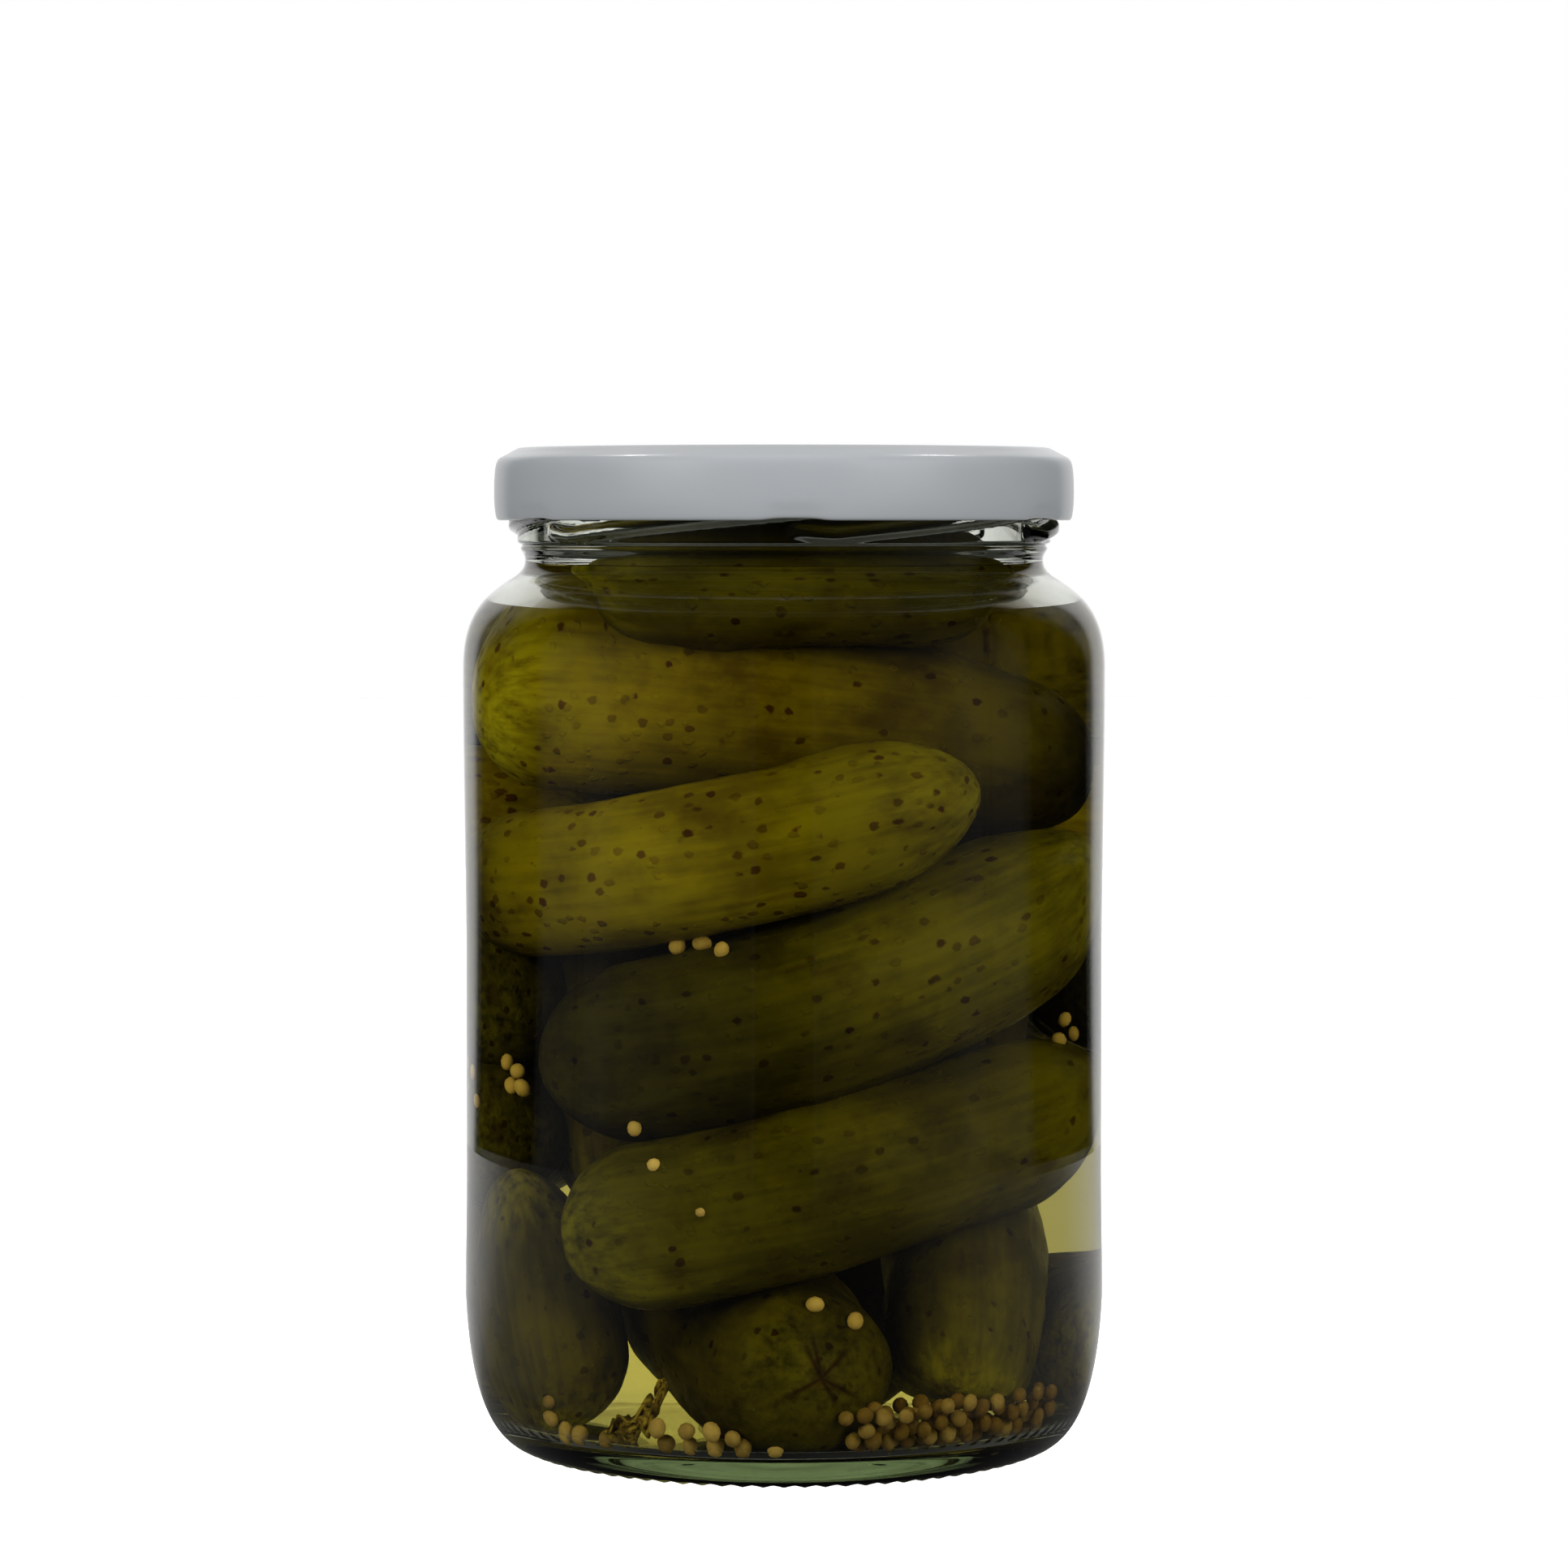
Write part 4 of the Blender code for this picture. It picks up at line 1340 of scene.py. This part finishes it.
# --- Floor, light and camera ---
@dataclass
class Studio:
    """A white table and backdrop. The room before the jar is dim, so that its glass mirrors little."""

    lens: float = 115.25  # mm, on a 36 mm sensor
    distance: float = 0.740
    eye_height: float = 0.137
    pitch: float = 3.07  # degrees downwards
    floor_size: float = 6.0
    target: tuple[float, float, float] = (0.0, 0.0, 0.07)  # what the lamps point at
    # what the glass reflects and lets through at each azimuth off the front: (degrees, brightness)
    around: tuple[Point, ...] = (
        *((0, 0.003), (10, 0.003), (10.6, 0.035), (11.4, 0.012), (30, 0.02), (60, 0.045), (64, 0.045)),
        *((65, 0.06), (76.4, 0.06), (77, 0.003), (77.8, 0.055), (96, 0.05), (97.5, 0.003)),
        *((141, 0.003), (146, 0.6), (150, 0.75), (163, 0.82), (168, 0.97), (180, 0.97)),
    )
    # the same for the table close to the jar
    table: tuple[Point, ...] = (
        *((0, 0.008), (35, 0.02), (55, 0.05), (75, 0.09), (100, 0.11), (114, 0.2), (122, 0.36)),
        *((133, 0.52), (139, 0.58), (146, 0.62), (163, 0.68), (168, 1.0), (180, 1.0)),
    )
    table_reach: float = 0.365  # how far these levels go for the table, and beyond it the room's
    table_fill: float = 0.3  # the least that it gives as soft light, which lifts the undersides
    ceiling: str = "aea394"  # what the glass and the lid mirror of the room high up
    ceiling_rise: Point = (0.3, 0.75)  # the sines of the angles between which the room turns into it

    def brightness(self, tree: NodeTree, way: NodeSocket, levels: Sequence[Point]) -> NodeSocket:
        """Looks up a brightness by its direction from the jar.

        Args:
            tree: the node tree.
            way: the direction.
            levels: the brightness at each azimuth off the front.

        Returns:
            The brightness.
        """
        split = add_node(tree, "SeparateXYZ", links={0: way})
        back = add_node(tree, "Math", {"operation": "MULTIPLY", 1: -1.0}, {0: split.outputs["Y"]})
        turn = add_node(tree, "Math", {"operation": "ARCTAN2"}, {0: split.outputs["X"], 1: back.outputs[0]})
        off_front = add_node(tree, "Math", {"operation": "ABSOLUTE"}, {0: turn.outputs[0]})
        share = add_node(tree, "Math", {"operation": "DIVIDE", 1: math.pi}, {0: off_front.outputs[0]})
        ramp = add_node(tree, "ValToRGB", links={0: share.outputs[0]})
        stops = ramp.color_ramp.elements
        for azimuth, _ in levels[2:]:
            stops.new(azimuth / 180.0)
        for stop, (azimuth, value) in zip(stops, levels):
            stop.position = azimuth / 180.0
            stop.color = (value, value, value, 1.0)
        return ramp.outputs[0]

    def floor(self) -> None:
        """The table: white to look at. What it sends to the jar is white behind it and dim before it."""
        material, tree, output = new_material("table_card_white")
        place = add_node(tree, "TexCoord").outputs["Object"]
        grain = add_node(tree, "TexNoise", {"Scale": 900.0, "Detail": 2.0}, {"Vector": place})
        whites = {"data_type": "RGBA", 6: linear("f4f4f4"), 7: linear("fafafa")}
        tone = add_node(tree, "Mix", whites, {0: grain.outputs[0]})
        lit = {"Roughness": 0.9, "Emission Color": (1, 1, 1, 1), "Emission Strength": 0.8}
        card = add_node(tree, "BsdfPrincipled", lit, {"Base Color": tone.outputs[2]}).outputs[0]
        away = add_node(tree, "VectorMath", {"operation": "LENGTH"}, {0: place}).outputs["Value"]
        near = add_node(tree, "Math", {"operation": "LESS_THAN", 1: self.table_reach}, {0: away})
        room, close = (self.brightness(tree, place, levels) for levels in (self.around, self.table))
        given = add_node(tree, "Mix", {"data_type": "RGBA"}, {0: near.outputs[0], 6: room, 7: close})
        path = add_node(tree, "LightPath").outputs
        least = {"operation": "MULTIPLY", 1: self.table_fill}
        fill = add_node(tree, "Math", least, {0: path["Is Diffuse Ray"]})
        lifted = add_node(tree, "Math", {"operation": "MAXIMUM"}, {0: given.outputs[2], 1: fill.outputs[0]})
        glow = add_node(tree, "Emission", links={0: lifted.outputs[0]}).outputs[0]
        mix = add_node(tree, "MixShader", links={0: path["Is Camera Ray"], 1: glow, 2: card})
        tree.links.new(mix.outputs[0], output.inputs["Surface"])
        form = bmesh.new()
        bmesh.ops.create_grid(form, x_segments=1, y_segments=1, size=self.floor_size / 2)
        mesh = bpy.data.meshes.new("table")
        form.to_mesh(mesh)
        form.free()
        mesh.materials.append(material)
        table = bpy.data.objects.new("table", mesh)
        bpy.context.scene.collection.objects.link(table)

    def surroundings(self) -> None:
        """The room: a white backdrop to look at."""
        world = bpy.data.worlds.new("studio")
        world.use_nodes = True
        bpy.context.scene.world = world
        tree = world.node_tree
        tree.nodes.clear()
        way = add_node(tree, "TexCoord").outputs["Generated"]
        room = self.brightness(tree, way, self.around)
        path = add_node(tree, "LightPath").outputs
        seen = add_node(tree, "Math", {"operation": "MAXIMUM"}, {0: room, 1: path["Is Camera Ray"]})
        rise = add_node(tree, "SeparateXYZ", links={0: way}).outputs["Z"]
        start, end = self.ceiling_rise
        soft = {"interpolation_type": "SMOOTHSTEP", "From Min": start, "From Max": end}
        high = add_node(tree, "MapRange", soft, {"Value": rise}).outputs[0]
        less = {"operation": "SUBTRACT", "use_clamp": True}
        mirrored = add_node(tree, "Math", less, {0: high, 1: path["Is Diffuse Ray"]})
        tones = {"data_type": "RGBA", 6: (1, 1, 1, 1), 7: linear(self.ceiling)}
        tone = add_node(tree, "Mix", tones, {0: mirrored.outputs[0]})
        light = add_node(tree, "Background", links={0: tone.outputs[2], 1: seen.outputs[0]})
        output = add_node(tree, "OutputWorld")
        tree.links.new(light.outputs[0], output.inputs[0])

    def lamp(self, name: str, place: Vector, side: float, watts: float, glint: bool = False) -> None:
        """Adds a square area lamp that points at the middle of the jar.

        Args:
            name: its name.
            place: where it is.
            side: its width and height.
            watts: its power.
            glint: whether it only makes a glint on what is glossy, rather than lighting what is matt.
        """
        light = bpy.data.lights.new(name, "AREA")
        light.shape, light.size, light.energy = "SQUARE", side, watts
        lamp = bpy.data.objects.new(name, light)
        lamp.location = place
        lamp.visible_transmission = False
        lamp.visible_glossy, lamp.visible_diffuse = glint, not glint
        lamp.rotation_euler = (Vector(self.target) - place).to_track_quat("-Z", "Y").to_euler()
        bpy.context.scene.collection.objects.link(lamp)

    def camera(self) -> None:
        """The camera, level with the lid and tipped a little down."""
        data = bpy.data.cameras.new("camera")
        data.lens, data.sensor_width, data.clip_start, data.clip_end = self.lens, 36.0, 0.01, 20.0
        camera = bpy.data.objects.new("camera", data)
        camera.location = (0.0, -self.distance, self.eye_height)
        camera.rotation_euler = (math.radians(90.0 - self.pitch), 0.0, 0.0)
        bpy.context.scene.collection.objects.link(camera)
        bpy.context.scene.camera = camera

    def build(self) -> None:
        """Sets up the whole studio."""
        self.floor()
        self.surroundings()
        self.lamp("left_softbox", on_circle(-48, 1.0, 0.45), side=0.6, watts=8.0)
        self.lamp("right_softbox", on_circle(48, 1.0, 0.45), side=0.6, watts=8.0)
        self.lamp("top_softbox", Vector((0.0, -0.15, 1.1)), side=0.5, watts=3.5)
        self.lamp("rear_softbox", Vector((0.0, 1.0, 0.5)), side=0.8, watts=14.0)
        for side in (-1, 1):
            self.lamp("far_spot", Vector((side * 0.42, 0.52, 1.1)), side=0.09, watts=1.3, glint=True)
        self.camera()
        bpy.context.scene.view_settings.view_transform = "Standard"


def main() -> None:
    """Builds the jar from the glass inwards, then the studio."""
    logging.basicConfig(level=logging.INFO, format="%(name)s: %(message)s")
    Studio().build()
    jar = GlassJar()
    cavity = Cavity(jar)
    heap = GherkinHeap(cavity)
    pieces = [
        jar.build(JarGlass()),
        TwistLid().build(LidEnamel()),
        BrineFill().build(jar, PickleBrine()),
        *heap.build(),
        MustardSeeds(cavity).build(heap, MustardSeedCoat()),
        DillScrap().build(cavity, SoakedDill()),
    ]
    for piece in pieces:
        LOG.info("%s: %d faces", piece.name, len(piece.data.polygons))


if __name__ == "__main__":
    main()
